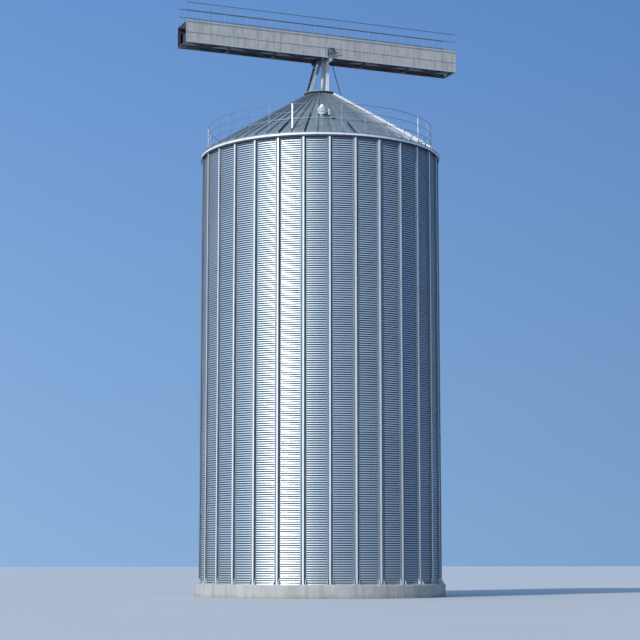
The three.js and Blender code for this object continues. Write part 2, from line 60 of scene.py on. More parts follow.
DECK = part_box("bridge_deck")
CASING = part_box("conveyor_casing")
BRIDGE_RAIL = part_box("bridge_rail_near")
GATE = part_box("gate_drive")
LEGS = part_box("support_legs_left")
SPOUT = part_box("grain_spout")
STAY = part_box("bridge_stay")
FLOOR_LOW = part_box("bridge_floor_frame")[0].z

# Seam between seated parts, and sides of the large round pieces
SEAM = 0.0003
ROUND = 240

# Wall
WALL_RADIUS = 5.73
WALL_SKIN = 0.010
WAVE_DEPTH = 0.018
WAVES_PER_RING = 11
WAVE_SAMPLES = 6
RINGS = 18
LAP_STEP = 0.002
SECTORS = 10
SECTOR_TURN = 36
SECTOR_COLUMNS = 12
STIFFENERS = 30
STIFFENER_STEP = 12
STIFFENER_LENGTHS = 6
STIFFENER_DEPTH = 0.070
STIFFENER_HALF = 0.142
KNEE_HALF = 0.106
CROWN_HALF = 0.042
PLATE = 0.004
RING_HEIGHT = (EAVE - WALL_FOOT) / RINGS
WAVE = RING_HEIGHT / WAVES_PER_RING
WALL_FACE = WALL_RADIUS + WALL_SKIN

# Roof
ROOF_SLOPE = radians(31.5)
ROOF_SECTORS = 6
RIBS = 60
RIBS_PER_SECTOR = 10
RIB_STEP = 6
ROOF_EDGE = 5.866
ROOF_TOP_RADIUS = 0.7303
SHEET = 0.024
RIB_HEIGHT = 0.070
RIB_TOP = SHEET + RIB_HEIGHT
RIB_BASE = (0.050, 0.024)
RIB_CROWN = (0.030, 0.014)
ROOF_ROWS = 36
ROOF_SEAT = EAVE_RING_HIGH + SEAM
# Distance to a facet's middle over the distance to its corners
FACET = cos(radians(RIB_STEP / 2))
HOOP_GAP = 0.0015
HOOP_THICK = 0.012

# Guard rail on the roof
RAIL_RADIUS = 5.5
RAIL_PANELS = 5
RAIL_POSTS = 6
RAIL_FIRST_POST = -126
RAIL_LEVELS = (0.330, 0.740, 1.150)
RAIL_TUBES = (0.0105, 0.0105, 0.0125)
RAIL_BAR = 0.040
WIDE_POST = 0.066
SLIM_POST = 0.026

# Roof ladder and vent
LADDER_ANGLE = -57
LADDER_WIDTH = 0.440
LADDER_STRINGER = 0.050
LADDER_DEPTH = 0.090
LADDER_SPACING = 0.3
LADDER_TOP = 0.930
LADDER_FOOT = 5.780
VENT_ANGLE = -111
VENT_RADIUS = 3.7
BREATHER_ANGLE = -106
BREATHER_RADIUS = 3.84

# Trestle and bridge
LEG_FOOT_X = -0.55
LEG_TOP_X = -0.12
LEG_Y = 0.37
COLUMN_X = 0.32
COLUMN_Y = 0.15
BAYS = 6
BRIDGE_HALF = GIRDER[1].x
BAY = 2 * BRIDGE_HALF / BAYS
DECK_HALF = DECK[1].y
SPOUT_X = (SPOUT[0].x + SPOUT[1].x) / 2

# View and light
CAMERA_AZIMUTH = -22.5
CAMERA_DISTANCE = 86.6
CAMERA_HEIGHT = 1.6
CAMERA_LENS = 101
CAMERA_AIM = 13.3
SUN_AZIMUTH = -62
SUN_ELEVATION = 36
KEY_AZIMUTH = -105

UP = Vector((0, 0, 1))
SIDE = Vector((0, 1, 0))
BOTH = (-1, 1)
BRIDGE_SIDES = ((-1, "near"), (1, "far"))


def polar(radius, degrees, z=0.0):
    angle = radians(degrees)
    return Vector((radius * cos(angle), radius * sin(angle), z))


def turn(degrees):
    return Matrix.Rotation(radians(degrees), 4, "Z")


def axes(x, y, z, place):
    """Matrix of three axes at a place."""
    matrix = Matrix((x, y, z)).transposed().to_4x4()
    matrix.translation = place
    return matrix


def upright(angle, radius, z=0.0):
    """Across, outward and up at a place around the silo."""
    out = polar(1, angle)
    return axes(out.cross(UP), out, UP, out * radius + UP * z)


def along_x(x, y, z):
    """Lays an outline's X, Y and depth along Y, Z and X."""
    return Matrix(((0, 0, 1, x), (1, 0, 0, y), (0, 1, 0, z), (0, 0, 0, 1)))


def along_y(x, y, z):
    """Lays an outline's X, Y and depth along X, Z and backwards along Y."""
    return Matrix(((1, 0, 0, x), (0, 0, -1, y), (0, 1, 0, z), (0, 0, 0, 1)))


def roof_z(radius):
    return ROOF_SEAT + (LIP_RADIUS - radius) * tan(ROOF_SLOPE)


def slope_frame(radius, degrees, lift):
    """Down the slope, across, and square to the roof, at a point on it."""
    out = polar(1, degrees)
    down = Vector((out.x * cos(ROOF_SLOPE), out.y * cos(ROOF_SLOPE), -sin(ROOF_SLOPE)))
    across = UP.cross(out)
    return axes(down, across, down.cross(across), polar(radius, degrees, roof_z(radius) + lift))


def circle(radius, sides):
    return [(radius * cos(2 * pi * i / sides), radius * sin(2 * pi * i / sides)) for i in range(sides)]


def rectangle(width, height):
    x, y = width / 2, height / 2
    return [(-x, -y), (x, -y), (x, y), (-x, y)]


def angle_section(leg, thick):
    """Equal angle with its heel at the origin's lower left."""
    half = leg / 2
    return [(-half, -half), (half, -half), (half, -half + thick), (-half + thick, -half + thick),
            (-half + thick, half), (-half, half)]


def placed(name, data):
    made = bpy.data.objects.new(name, data)
    bpy.context.scene.collection.objects.link(made)
    return made


class Shape:
    """Gathers the points and faces of one piece."""

    def __init__(self):
        self.points = []
        self.faces = []

    def put(self, points, faces, matrix=None):
        start = len(self.points)
        if matrix is not None:
            points = [matrix @ Vector(p) for p in points]
        self.points.extend(tuple(p) for p in points)
        self.faces.extend(tuple(i + start for i in face) for face in faces)

    def box(self, one, other, matrix=None):
        """Box between two opposite corners."""
        x, y, z = (sorted(pair) for pair in zip(one, other))
        points = [(x[i], y[j], z[k]) for k in (0, 1) for j in (0, 1) for i in (0, 1)]
        faces = [(0, 2, 3, 1), (4, 5, 7, 6), (0, 1, 5, 4), (2, 6, 7, 3), (0, 4, 6, 2), (1, 3, 7, 5)]
        self.put(points, faces, matrix)

    def loops(self, rows, matrix=None, capped=False):
        """Skin over closed rows of points, capped at both ends or joined up with the first row."""
        n, count = len(rows[0]), len(rows)
        faces = []
        for r in range(count - 1 if capped else count):
            a, b = r * n, (r + 1) % count * n
            faces += [(a + c, a + (c + 1) % n, b + (c + 1) % n, b + c) for c in range(n)]
        if capped:
            faces += [tuple(range(n - 1, -1, -1)), tuple(range((count - 1) * n, count * n))]
        self.put([p for row in rows for p in row], faces, matrix)

    def turned(self, profile, sides, matrix=None, capped=False):
        """Profile of (radius, height) points, anticlockwise, turned all the way round."""
        self.loops([[polar(radius, i * 360 / sides, z) for i in range(sides)] for radius, z in profile],
                   matrix, capped)

    def prism(self, outline, low, high, matrix=None):
        """Outline in X and Y, anticlockwise, raised from low to high along Z."""
        self.loops([[(x, y, z) for x, y in outline] for z in (low, high)], matrix, True)

    def bar(self, start, end, outline, up=UP):
        """Outline of (across, up) points, drawn straight from start to end."""
        start, end = Vector(start), Vector(end)
        along = (end - start).normalized()
        across = along.cross(Vector(up)).normalized()
        # The three axes are left-handed, so the outline is taken backwards
        self.prism(outline[::-1], 0, (end - start).length, axes(across, across.cross(along), along, start))

    def tube(self, start, end, radius, sides=12, up=UP):
        self.bar(start, end, circle(radius, sides), up)

    def arc(self, outline, radius, first, last, z, step=2.0):
        """Outline of (outward, up) points swept about the silo's axis, ends closed."""
        steps = max(1, round((last - first) / step))
        angles = [first + (last - first) * i / steps for i in range(steps + 1)]
        rows = [[polar(radius + out, angle, z + rise) for out, rise in outline[::-1]] for angle in angles]
        self.loops(rows, capped=True)

    def grid(self, rows):
        """Open skin over rows of points; every row has the same count."""
        count = len(rows[0])
        starts = [r * count + c for r in range(len(rows) - 1) for c in range(count - 1)]
        self.put([p for row in rows for p in row], [(a, a + 1, a + 1 + count, a + count) for a in starts])

    def shell(self, face, back):
        """Closed body between a face and a back of equal rows of points."""
        rows, count = len(face), len(face[0])
        start = len(self.points)
        under = start + rows * count
        self.grid(face)
        self.put([p for row in back for p in row], [])
        self.faces += [(a, a + count, a + count + 1, a + 1) for r in range(rows - 1)
                       for a in range(under + r * count, under + (r + 1) * count - 1)]
        rim = list(range(count))
        rim += [r * count + count - 1 for r in range(1, rows)]
        rim += [(rows - 1) * count + c for c in range(count - 2, -1, -1)]
        rim += [r * count for r in range(rows - 2, 0, -1)]
        self.faces += [(start + b, start + a, under + a, under + b) for a, b in zip(rim, rim[1:] + rim[:1])]

    def bolts(self, places, radius, height):
        """Hexagon heads. Each place is (point, outward direction, any direction across it)."""
        head = np.array([(x, y, z) for z in (0, height) for x, y in circle(radius, 6)])
        sides = [(i, (i + 1) % 6, 6 + (i + 1) % 6, 6 + i) for i in range(6)]
        sides += [tuple(range(6, 12)), tuple(range(5, -1, -1))]
        for point, out, across in places:
            out = Vector(out).normalized()
            across = (Vector(across) - out * Vector(across).dot(out)).normalized()
            spun = np.array([across[:], out.cross(across)[:], out[:]])
            self.put(head @ spun + np.array(tuple(point)), sides)

    def piece(self, name, material, slot, replaces=(), smooth=None):
        mesh = bpy.data.meshes.new(name)
        mesh.from_pydata(self.points, [], self.faces)
        mesh.materials.append(material)
        if smooth is not None:
            mesh.shade_smooth()
            mesh.set_sharp_from_angle(angle=radians(smooth))
        mesh.update()
        made = placed(name, mesh)
        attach(made, "root")
        if replaces:
            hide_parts(*replaces)
        return made


def bolt_heads(name, places, radius, height):
    shape = Shape()
    shape.bolts(places, radius, height)
    shape.piece(name, FASTENER, "bright_galvanised")


def ring_piece(name, profile, material, slot, replaces=(), sides=ROUND):
    """A profile of (radius, height) points turned about the silo's axis."""
    shape = Shape()
    shape.turned(profile, sides)
    shape.piece(name, material, slot, replaces, smooth=30)


def soften(piece, width, segments=2):
    """Rounds the edges of a plate or bar piece."""
    bevel = piece.modifiers.new("edges", "BEVEL")
    bevel.width = width
    bevel.segments = segments
    bevel.limit_method = "ANGLE"
    bevel.angle_limit = radians(40)


# Materials

class Nodes:
    """Shader nodes of one tree."""

    def __init__(self, tree):
        self.tree = tree

    def node(self, kind, inputs=None, **settings):
        made = self.tree.nodes.new(kind)
        for key, value in settings.items():
            setattr(made, key, value)
        for key, value in (inputs or {}).items():
            self.set(made.inputs[key], value)
        return made

    def set(self, socket, value):
        if isinstance(value, bpy.types.NodeSocket):
            self.tree.links.new(value, socket)
        else:
            socket.default_value = value

    def calc(self, operation, a, b=0.0):
        return self.node("ShaderNodeMath", {0: a, 1: b}, operation=operation).outputs[0]

    def times(self, value, *others):
        for other in others:
            value = self.calc("MULTIPLY", value, other)
        return value

    def plus(self, a, b):
        return self.calc("ADD", a, b)

    def less(self, a, b):
        return self.calc("SUBTRACT", a, b)

    def spread(self, value, low, high, to_low=0.0, to_high=1.0):
        return self.node("ShaderNodeMapRange", {
            "Value": value, "From Min": low, "From Max": high,
            "To Min": to_low, "To Max": to_high}).outputs[0]

    def mix(self, amount, a, b, blend="MIX"):
        made = self.node("ShaderNodeMix", data_type="RGBA", blend_type=blend)
        self.set(made.inputs[0], amount)
        for socket, value in ((made.inputs[6], a), (made.inputs[7], b)):
            self.set(socket, (*value, 1.0) if isinstance(value, tuple) else value)
        return made.outputs[2]

    def ramp(self, value, stops):
        """Colour ramp. Each stop is (position, colour)."""
        made = self.node("ShaderNodeValToRGB", {"Fac": value})
        elements = made.color_ramp.elements
        for i, (position, colour) in enumerate(stops):
            element = elements[i] if i < 2 else elements.new(position)
            element.position = position
            element.color = (*colour, 1)
        return made.outputs["Color"]

    def split(self, vector):
        made = self.node("ShaderNodeSeparateXYZ", {0: vector})
        return made.outputs["X"], made.outputs["Y"], made.outputs["Z"]

    def join(self, x, y, z):
        return self.node("ShaderNodeCombineXYZ", {0: x, 1: y, 2: z}).outputs[0]


class Graph(Nodes):
    """A material on object coordinates, which are metres in the frame."""

    def __init__(self, name, metallic):
        self.material = bpy.data.materials.new(name)
        self.material.use_nodes = True
        super().__init__(self.material.node_tree)
        self.shader = self.tree.nodes["Principled BSDF"]
        self.shader.inputs["Metallic"].default_value = metallic
        self.place = self.node("ShaderNodeTexCoord").outputs["Object"]

    def noise(self, scale, detail=4.0, rough=0.55, stretch=None, place=None):
        vector = place or self.place
        if stretch:
            vector = self.node("ShaderNodeMapping", {"Vector": vector, "Scale": stretch}).outputs[0]
        return self.node("ShaderNodeTexNoise", {
            "Vector": vector, "Scale": scale, "Detail": detail, "Roughness": rough}).outputs["Fac"]

    def spangle(self, scale):
        """One random number for each crystal of the zinc."""
        cells = self.node("ShaderNodeTexVoronoi", {"Vector": self.place, "Scale": scale})
        return self.split(cells.outputs["Color"])[0]

    def dice(self, x, y, z=0.0):
        """One steady random number for each whole x, y, z."""
        vector = self.join(self.calc("FLOOR", x), self.calc("FLOOR", y), z)
        noise = self.node("ShaderNodeTexWhiteNoise", {"Vector": vector}, noise_dimensions="3D")
        return noise.outputs["Value"]

    def round_place(self):
        """(angle in radians, distance from the axis, height)"""
        x, y, z = self.split(self.place)
        return self.calc("ARCTAN2", y, x), self.calc("SQRT", self.plus(self.times(x, x), self.times(y, y))), z

    def from_spoke(self, angle, radius, count):
        """Metres across from the nearest of the evenly spaced spokes."""
        around = self.plus(self.times(angle, count / (2 * pi)), 0.5)
        return self.times(radius, 2 * pi / count, self.less(self.calc("FRACT", around), 0.5))

    def base(self, amount, a, b):
        self.colour = self.mix(amount, a, b)

    def over(self, amount, tone):
        """Lays another tone over the colour."""
        self.colour = self.mix(amount, self.colour, tone)

    def stain(self, value, low, high, most, tone):
        """Lays a tone over, from none where the value is low to most where it is high."""
        self.over(self.spread(value, low, high, 0.0, most), tone)

    def finish(self, roughness, height=None, strength=0.3, distance=0.002):
        self.set(self.shader.inputs["Base Color"], self.colour)
        self.set(self.shader.inputs["Roughness"], roughness)
        if height is not None:
            bump = self.node("ShaderNodeBump", {"Height": height, "Strength": strength, "Distance": distance})
            self.set(self.shader.inputs["Normal"], bump.outputs[0])
        return self.material


def wall_material():
    """Galvanised sheet: one tone for each sheet, spangle, streaks, valleys darkened by dust and painted
    shade, painted shade on the undersides of the waves, and a painted shadow beside each stiffener on the
    shaded half.
    """
    g = Graph("wall galvanised", 0.62)
    angle, radius, z = g.round_place()
    height = g.less(z, WALL_FOOT)
    # Each sheet is two stiffeners wide
    around = g.plus(g.times(angle, STIFFENERS / 2 / (2 * pi)), 0.5)
    sheet = g.dice(around, g.calc("DIVIDE", height, RING_HEIGHT))
    streak = g.noise(1.0, 5, 0.6, (9.0, 9.0, 0.22))
    valley = g.spread(radius, WALL_RADIUS + WAVE_DEPTH / 2, WALL_RADIUS - WAVE_DEPTH / 2)
    under = g.spread(g.calc("SINE", g.times(height, 2 * pi / WAVE)), 0.20, -0.20)
    foot = g.spread(z, WALL_FOOT + 1.6, WALL_FOOT)
    g.base(g.spread(sheet, 0, 1, 0.0, 0.75), (0.64, 0.75, 0.80), (0.49, 0.60, 0.66))
    g.stain(g.spangle(38.0), 0, 1, 0.16, (0.86, 0.90, 0.92))
    g.stain(streak, 0.48, 0.78, 0.42, (0.42, 0.48, 0.53))
    g.stain(g.noise(0.35, 4, 0.6), 0.45, 0.75, 0.25, (0.52, 0.59, 0.63))
    # Dust and painted shade: the valleys of the corrugation are darkened
    g.over(g.times(valley, 0.25), (0.20, 0.24, 0.29))
    # Painted shade: the downward flank of each wave is laid near black
    g.over(g.times(under, 0.97), (0.012, 0.022, 0.036))
    g.over(g.times(foot, g.spread(streak, 0.3, 0.8, 0.1, 0.6)), (0.38, 0.33, 0.27))
    # Painted shadow beside each stiffener, on its side away from the sun, over the shaded half
    across = g.from_spoke(angle, radius, STIFFENERS)
    beside = g.times(g.spread(across, 0.10, 0.12), g.spread(across, 0.21, 0.17))
    shaded = g.times(g.spread(angle, radians(-104), radians(-76)),
                     g.spread(angle, radians(150), radians(120)))
    g.over(g.times(beside, shaded, 0.85), (0.020, 0.032, 0.048))
    rough = g.spread(g.plus(streak, g.times(sheet, 0.3)), 0.3, 1.1, 0.38, 0.50)
    return g.finish(rough, g.noise(60.0, 3), 0.12, 0.002)


def galvanised(name, light, dark, metallic, rough, streaks, sparkle=(0.90, 0.91, 0.92), dirt_and_shade=None):
    """Galvanised section steel: mottled zinc and faint runs; dirt_and_shade(graph, streak) lays more over it.
    """
    g = Graph(name, metallic)
    cloud = g.noise(2.3, 5, 0.62)
    streak = g.noise(1.0, 4, 0.6, (14.0, 14.0, 0.5))
    g.base(g.spread(cloud, 0.3, 0.75), light, dark)
    g.stain(g.spangle(55.0), 0, 1, 0.14, sparkle)
    g.stain(streak, 0.5, 0.8, streaks, (0.30, 0.30, 0.29))
    if dirt_and_shade:
        dirt_and_shade(g, streak)
    return g.finish(g.spread(cloud, 0.25, 0.8, rough - 0.08, rough + 0.12), g.noise(80.0, 3), 0.12, 0.0015)


def stiffener_grime_and_shade(g, streak):
    """Dust and painted shade on one flank of each hat, and a painted shadow on the other, which faces away
    from the sun.
    """
    angle, radius = g.round_place()[:2]
    across = g.from_spoke(angle, radius, STIFFENERS)
    lee = g.times(g.spread(across, CROWN_HALF - 0.010, CROWN_HALF - 0.002),
                  g.spread(across, KNEE_HALF + 0.030, KNEE_HALF + 0.022))
    flank = g.times(g.spread(across, -CROWN_HALF - 0.002, -CROWN_HALF - 0.010),
                    g.spread(across, -KNEE_HALF - 0.010, -KNEE_HALF))
    flange = g.spread(across, -KNEE_HALF - 0.002, -KNEE_HALF - 0.010)
    g.over(g.times(flange, 0.85), (0.23, 0.28, 0.32))
    # Dust and painted shade on the flank toward the sun
    g.over(g.times(flank, 0.95), (0.105, 0.13, 0.155))
    # Painted shadow on the flank away from the sun and the inner part of its flange
    g.over(g.times(lee, g.spread(streak, 0.3, 0.7, 1.0, 0.88)), (0.022, 0.035, 0.05))


def roof_material():
    """Dull roof sheet: one tone for each panel, dust, and runs that follow the slope."""
    g = Graph("roof galvanised", 0.55)
    angle, radius = g.round_place()[:2]
    around = g.times(angle, RIBS / (2 * pi))
    slope_place = g.join(g.times(around, 3.0), g.times(radius, 0.45), 0.0)
    run = g.noise(1.0, 5, 0.6, None, slope_place)
    g.base(g.spread(g.dice(around, 0.0), 0, 1, 0.0, 0.6), (0.27, 0.32, 0.345), (0.205, 0.25, 0.275))
    g.stain(run, 0.45, 0.72, 0.55, (0.15, 0.18, 0.20))
    g.stain(g.noise(0.6, 5, 0.65), 0.5, 0.78, 0.5, (0.34, 0.37, 0.37))
    g.stain(g.spangle(30.0), 0, 1, 0.10, (0.60, 0.64, 0.66))
    # Grime and painted shade beside the ribs, more at some than at others, and less near the peak
    beside = g.calc("ABSOLUTE", g.from_spoke(angle, radius, RIBS))
    rib = g.dice(g.plus(around, 0.5), 7.0)
    grime = g.times(g.spread(beside, 0.10, 0.05), g.spread(run, 0.35, 0.65, 0.15, 0.55),
                    g.spread(rib, 0.1, 0.9, 0.15, 1.0), g.spread(radius, 1.6, 3.4, 0.30, 1.0))
    g.over(grime, (0.07, 0.09, 0.11))
    # Painted shadow beside three seams, from the eave part of the way up, widening the dark line there
    for degrees, start, dark in ((-131.3, 4.1, 0.95), (-119.3, 3.5, 0.95), (-96.7, 4.5, 0.8)):
        off = g.times(g.calc("ABSOLUTE", g.less(angle, radians(degrees))), radius)
        g.over(g.times(g.spread(off, 0.052, 0.034), g.spread(radius, start, start + 0.3, 0.0, dark)),
               (0.018, 0.028, 0.040))
    return g.finish(g.spread(run, 0.3, 0.8, 0.40, 0.60), g.noise(45.0, 3), 0.15, 0.002)


def weathered(name, light, dark, grime, metallic, rough, inner=None):
    """Plate or paint with a clouded tone, runs and rust; painted shade nearer the middle line than inner."""
    g = Graph(name, metallic)
    cloud = g.noise(1.7, 6, 0.62)
    g.base(g.spread(cloud, 0.3, 0.72), light, dark)
    g.stain(g.noise(1.0, 5, 0.6, (7.0, 7.0, 0.8)), 0.46, 0.75, 0.55, grime)
    g.stain(g.noise(26.0, 4, 0.7), 0.66, 0.76, 0.6, (0.21, 0.12, 0.07))
    if inner is not None:
        # Painted shade on the faces nearer the middle line than inner
        off = g.calc("ABSOLUTE", g.split(g.place)[1])
        g.over(g.spread(off, inner, inner - 0.002), (0.045, 0.048, 0.07))
    return g.finish(g.spread(cloud, 0.25, 0.8, rough - 0.08, rough + 0.12), g.noise(70.0, 4), 0.2, 0.0015)


def concrete_material():
    """Cast concrete: mottled grey with fine pores, dark runs and a damp foot."""
    g = Graph("concrete", 0.0)
    cloud = g.noise(1.3, 6, 0.65)
    grain = g.noise(55.0, 6, 0.7)
    damp = g.spread(g.split(g.place)[2], 0.22, 0.0)
    g.base(g.spread(cloud, 0.3, 0.72), (0.52, 0.51, 0.48), (0.40, 0.39, 0.36))
    g.stain(grain, 0.35, 0.7, 0.35, (0.30, 0.29, 0.27))
    g.stain(g.noise(1.0, 5, 0.6, (3.5, 3.5, 0.35)), 0.48, 0.75, 0.6, (0.24, 0.23, 0.21))
    g.over(g.times(damp, g.spread(cloud, 0.3, 0.8, 0.2, 0.8)), (0.22, 0.20, 0.17))
    pores = g.plus(grain, g.times(g.noise(9.0, 5, 0.6), 0.8))
    return g.finish(g.spread(grain, 0.2, 0.8, 0.78, 0.95), pores, 0.5, 0.004)


def leg_material():
    """Dark above, pale zinc below the middle."""
    g = Graph("leg steel", 0.25)
    cloud = g.noise(2.1, 6, 0.62)
    middle = (LEGS[0].z + LEGS[1].z) / 2
    pale_below = g.spread(g.plus(g.split(g.place)[2], g.times(cloud, 0.12)), middle + 0.10, middle + 0.02)
    g.base(pale_below, (0.075, 0.09, 0.115), (0.36, 0.41, 0.46))
    g.stain(cloud, 0.35, 0.75, 0.4, (0.16, 0.18, 0.20))
    g.stain(g.noise(26.0, 4, 0.7), 0.66, 0.76, 0.5, (0.21, 0.12, 0.07))
    return g.finish(g.spread(cloud, 0.25, 0.8, 0.42, 0.62), g.noise(70.0, 4), 0.2, 0.0015)


WALL = wall_material()
ROOF = roof_material()
LEG = leg_material()
CONCRETE = concrete_material()
# Light tone, dark tone, metallic, roughness, strength of the runs
HAT = galvanised("stiffener galvanised", (0.86, 0.89, 0.89), (0.73, 0.77, 0.78), 0.32, 0.42, 0.35,
                 (0.86, 0.88, 0.88), stiffener_grime_and_shade)
SECTION = galvanised("section galvanised", (0.74, 0.77, 0.78), (0.60, 0.64, 0.66), 0.6, 0.40, 0.35)
BRIGHT = galvanised("bright galvanised", (0.84, 0.85, 0.86), (0.70, 0.72, 0.74), 0.5, 0.38, 0.20)
POSTS = galvanised("post galvanised", (0.34, 0.44, 0.58), (0.28, 0.37, 0.50), 0.4, 0.50, 0.25)
LIP = galvanised("lip galvanised", (0.86, 0.86, 0.87), (0.75, 0.76, 0.78), 0.2, 0.42, 0.20)
# The dark tones of the rail, walk rail and grating steel below are painted shade on galvanised steel
RAIL = galvanised("rail galvanised", (0.14, 0.20, 0.29), (0.10, 0.15, 0.23), 0.4, 0.50, 0.30)
WALK_RAIL = galvanised("walk rail galvanised", (0.08, 0.13, 0.17), (0.055, 0.095, 0.13), 0.2, 0.55, 0.30)
GRATING = galvanised("grating galvanised", (0.12, 0.135, 0.18), (0.085, 0.095, 0.13), 0.3, 0.55, 0.30)
FASTENER = galvanised("fastener zinc", (0.55, 0.57, 0.58), (0.38, 0.39, 0.40), 0.7, 0.42, 0.30)
DULL = galvanised("dull galvanised", (0.36, 0.41, 0.44), (0.27, 0.32, 0.35), 0.5, 0.46, 0.30)
# Light tone, dark tone, grime, metallic, roughness
OLD = ((0.56, 0.54, 0.49), (0.44, 0.43, 0.39), (0.25, 0.25, 0.23), 0.2, 0.55)
WEATHERED = weathered("weathered steel", *OLD)
# The girders' inner faces, under the deck, get painted shade
GIRDER_STEEL = weathered("girder steel", *OLD, DECK_HALF - 0.003)
PIPE = weathered("pipe steel", (0.60, 0.66, 0.64), (0.50, 0.56, 0.55), (0.32, 0.34, 0.33), 0.1, 0.5)
DRUM = weathered("drum steel", (0.17, 0.19, 0.18), (0.13, 0.15, 0.14), (0.09, 0.10, 0.09), 0.25, 0.5)
STAY_PAINT = weathered("stay paint", (0.022, 0.05, 0.17), (0.016, 0.036, 0.12), (0.05, 0.05, 0.06), 0.0, 0.5)
DARK = weathered("dark steel", (0.085, 0.10, 0.125), (0.055, 0.065, 0.085), (0.12, 0.11, 0.10), 0.2, 0.55)
PALE = weathered("pale steel", (0.58, 0.60, 0.59), (0.46, 0.48, 0.48), (0.28, 0.29, 0.29), 0.3, 0.5)
# Near-black steel for the dark parts, and painted shade on the eave skirt, the collar, the vent slots and the
# floor frame
BLACK_STEEL_AND_SHADE = weathered("near black steel and painted shade", (0.04, 0.05, 0.065), (0.025, 0.032, 0.045), (0.05, 0.05, 0.05), 0.1, 0.6)
HOUSING = weathered("housing steel", (0.13, 0.14, 0.17), (0.09, 0.10, 0.13), (0.20, 0.19, 0.17), 0.2, 0.55)
WHITE = weathered("white paint", (0.80, 0.82, 0.82), (0.70, 0.72, 0.72), (0.46, 0.45, 0.42), 0.0, 0.42)
COWL = weathered("cowl paint", (0.74, 0.76, 0.74), (0.64, 0.66, 0.64), (0.42, 0.43, 0.41), 0.0, 0.45)


# Wall

def wall_rows():
    """(height, radius) of the corrugated face from foot to eave, each ring lapping the one below."""
    rows = []
    samples = WAVES_PER_RING * WAVE_SAMPLES
    for ring in range(RINGS):
        for i in range(samples + 1):
            part = i / samples
            wave = WAVE_DEPTH / 2 * cos(2 * pi * WAVES_PER_RING * part)
            rows.append((WALL_FOOT + (ring + part) * RING_HEIGHT, WALL_RADIUS + wave + LAP_STEP * (1 - part)))
    return rows


def wall_sheets():
    """Corrugated face over a plain back, one piece for each sector."""
    rows = wall_rows()
    half = SECTOR_TURN / 2
    inner = WALL_RADIUS - WALL_SKIN
    for index in range(SECTORS):
        middle = index * SECTOR_TURN
        angles = [middle + half * (2 * c / SECTOR_COLUMNS - 1) for c in range(SECTOR_COLUMNS + 1)]
        shape = Shape()
        shape.grid([[polar(radius, a, z) for a in angles] for z, radius in rows])
        count = len(angles)
        last = (len(rows) - 1) * count
        back = len(shape.points)
        upper = back + count
        shape.put([polar(inner, a, z) for z in (WALL_FOOT, EAVE) for a in angles], [])
        for c in range(count - 1):
            shape.faces += [(back + c, back + c + 1, c + 1, c),
                            (last + c, last + c + 1, upper + c + 1, upper + c),
                            (back + c + 1, back + c, upper + c, upper + c + 1)]
        side = [r * count for r in range(len(rows))]
        shape.faces.append((*side, upper, back))
        shape.faces.append((*(r + count - 1 for r in side), upper + count - 1, upper - 1)[::-1])
        number = f"{index + 1:02d}"
        shape.piece(f"wall_sheets_{number}", WALL, "wall_galvanised", [f"wall_sector_{number}"], smooth=38)


def hat_outline(grow=0.0, flange=STIFFENER_HALF):
    """Folded hat section of one plate: (across, outward) from the wall's face."""
    top, knee, crown = STIFFENER_DEPTH + grow, KNEE_HALF + grow, CROWN_HALF + grow
    return [(-flange, grow), (-knee + PLATE, grow), (-crown + PLATE, top - PLATE),
            (crown - PLATE, top - PLATE), (knee - PLATE, grow), (flange, grow),
            (flange, grow + PLATE), (knee, grow + PLATE), (crown, top), (-crown, top),
            (-knee, grow + PLATE), (-flange, grow + PLATE)]


def stiffener_angles(index):
    return [index * SECTOR_TURN + k * STIFFENER_STEP for k in (-1, 0, 1)]


def stiffeners():
    """Three hat posts on each wall sector, in bolted lengths with a cover at each splice."""
    length = (EAVE - WALL_FOOT) / STIFFENER_LENGTHS
    gap = 0.006
    cover_half = 0.13
    for index in range(SECTORS):
        shape, covers = Shape(), Shape()
        for angle in stiffener_angles(index):
            matrix = upright(angle, WALL_FACE)
            for part in range(STIFFENER_LENGTHS):
                joint = WALL_FOOT + part * length
                shape.prism(hat_outline(), joint + gap / 2, joint + gap / 2 + length - gap, matrix)
                if part:
                    outline = hat_outline(PLATE, STIFFENER_HALF - 0.006)
                    covers.prism(outline, joint - cover_half, joint + cover_half, matrix)
        shape.piece(f"stiffeners_{index + 1:02d}", HAT, "wall_galvanised")
        covers.piece(f"stiffener_covers_{index + 1:02d}", HAT, "wall_galvanised")


def wall_bolts():
    """Bolts through the stiffeners' flanges and along the laps between the rings."""
    flange_line = 0.124
    half, spacing, clear = SECTOR_TURN // 2, 2, 1.8
    for index in range(SECTORS):
        places = []
        posts = stiffener_angles(index)
        for angle in posts:
            out = polar(1, angle)
            across = UP.cross(out)
            for side in BOTH:
                foot = out * (WALL_FACE + PLATE) + across * (side * flange_line)
                places += [((foot.x, foot.y, WALL_FOOT + wave * WAVE), out, across)
                           for wave in range(1, RINGS * WAVES_PER_RING, 2)]
        for ring in range(1, RINGS):
            z = WALL_FOOT + ring * RING_HEIGHT + WAVE
            for angle in range(posts[1] - half + 1, posts[1] + half, spacing):
                if min(abs(angle - post) for post in posts) >= clear:
                    places.append((polar(WALL_RADIUS + WAVE_DEPTH / 2, angle, z), polar(1, angle), UP))
        bolt_heads(f"wall_bolts_{index + 1:02d}", places, 0.010, 0.009)


# Plinth

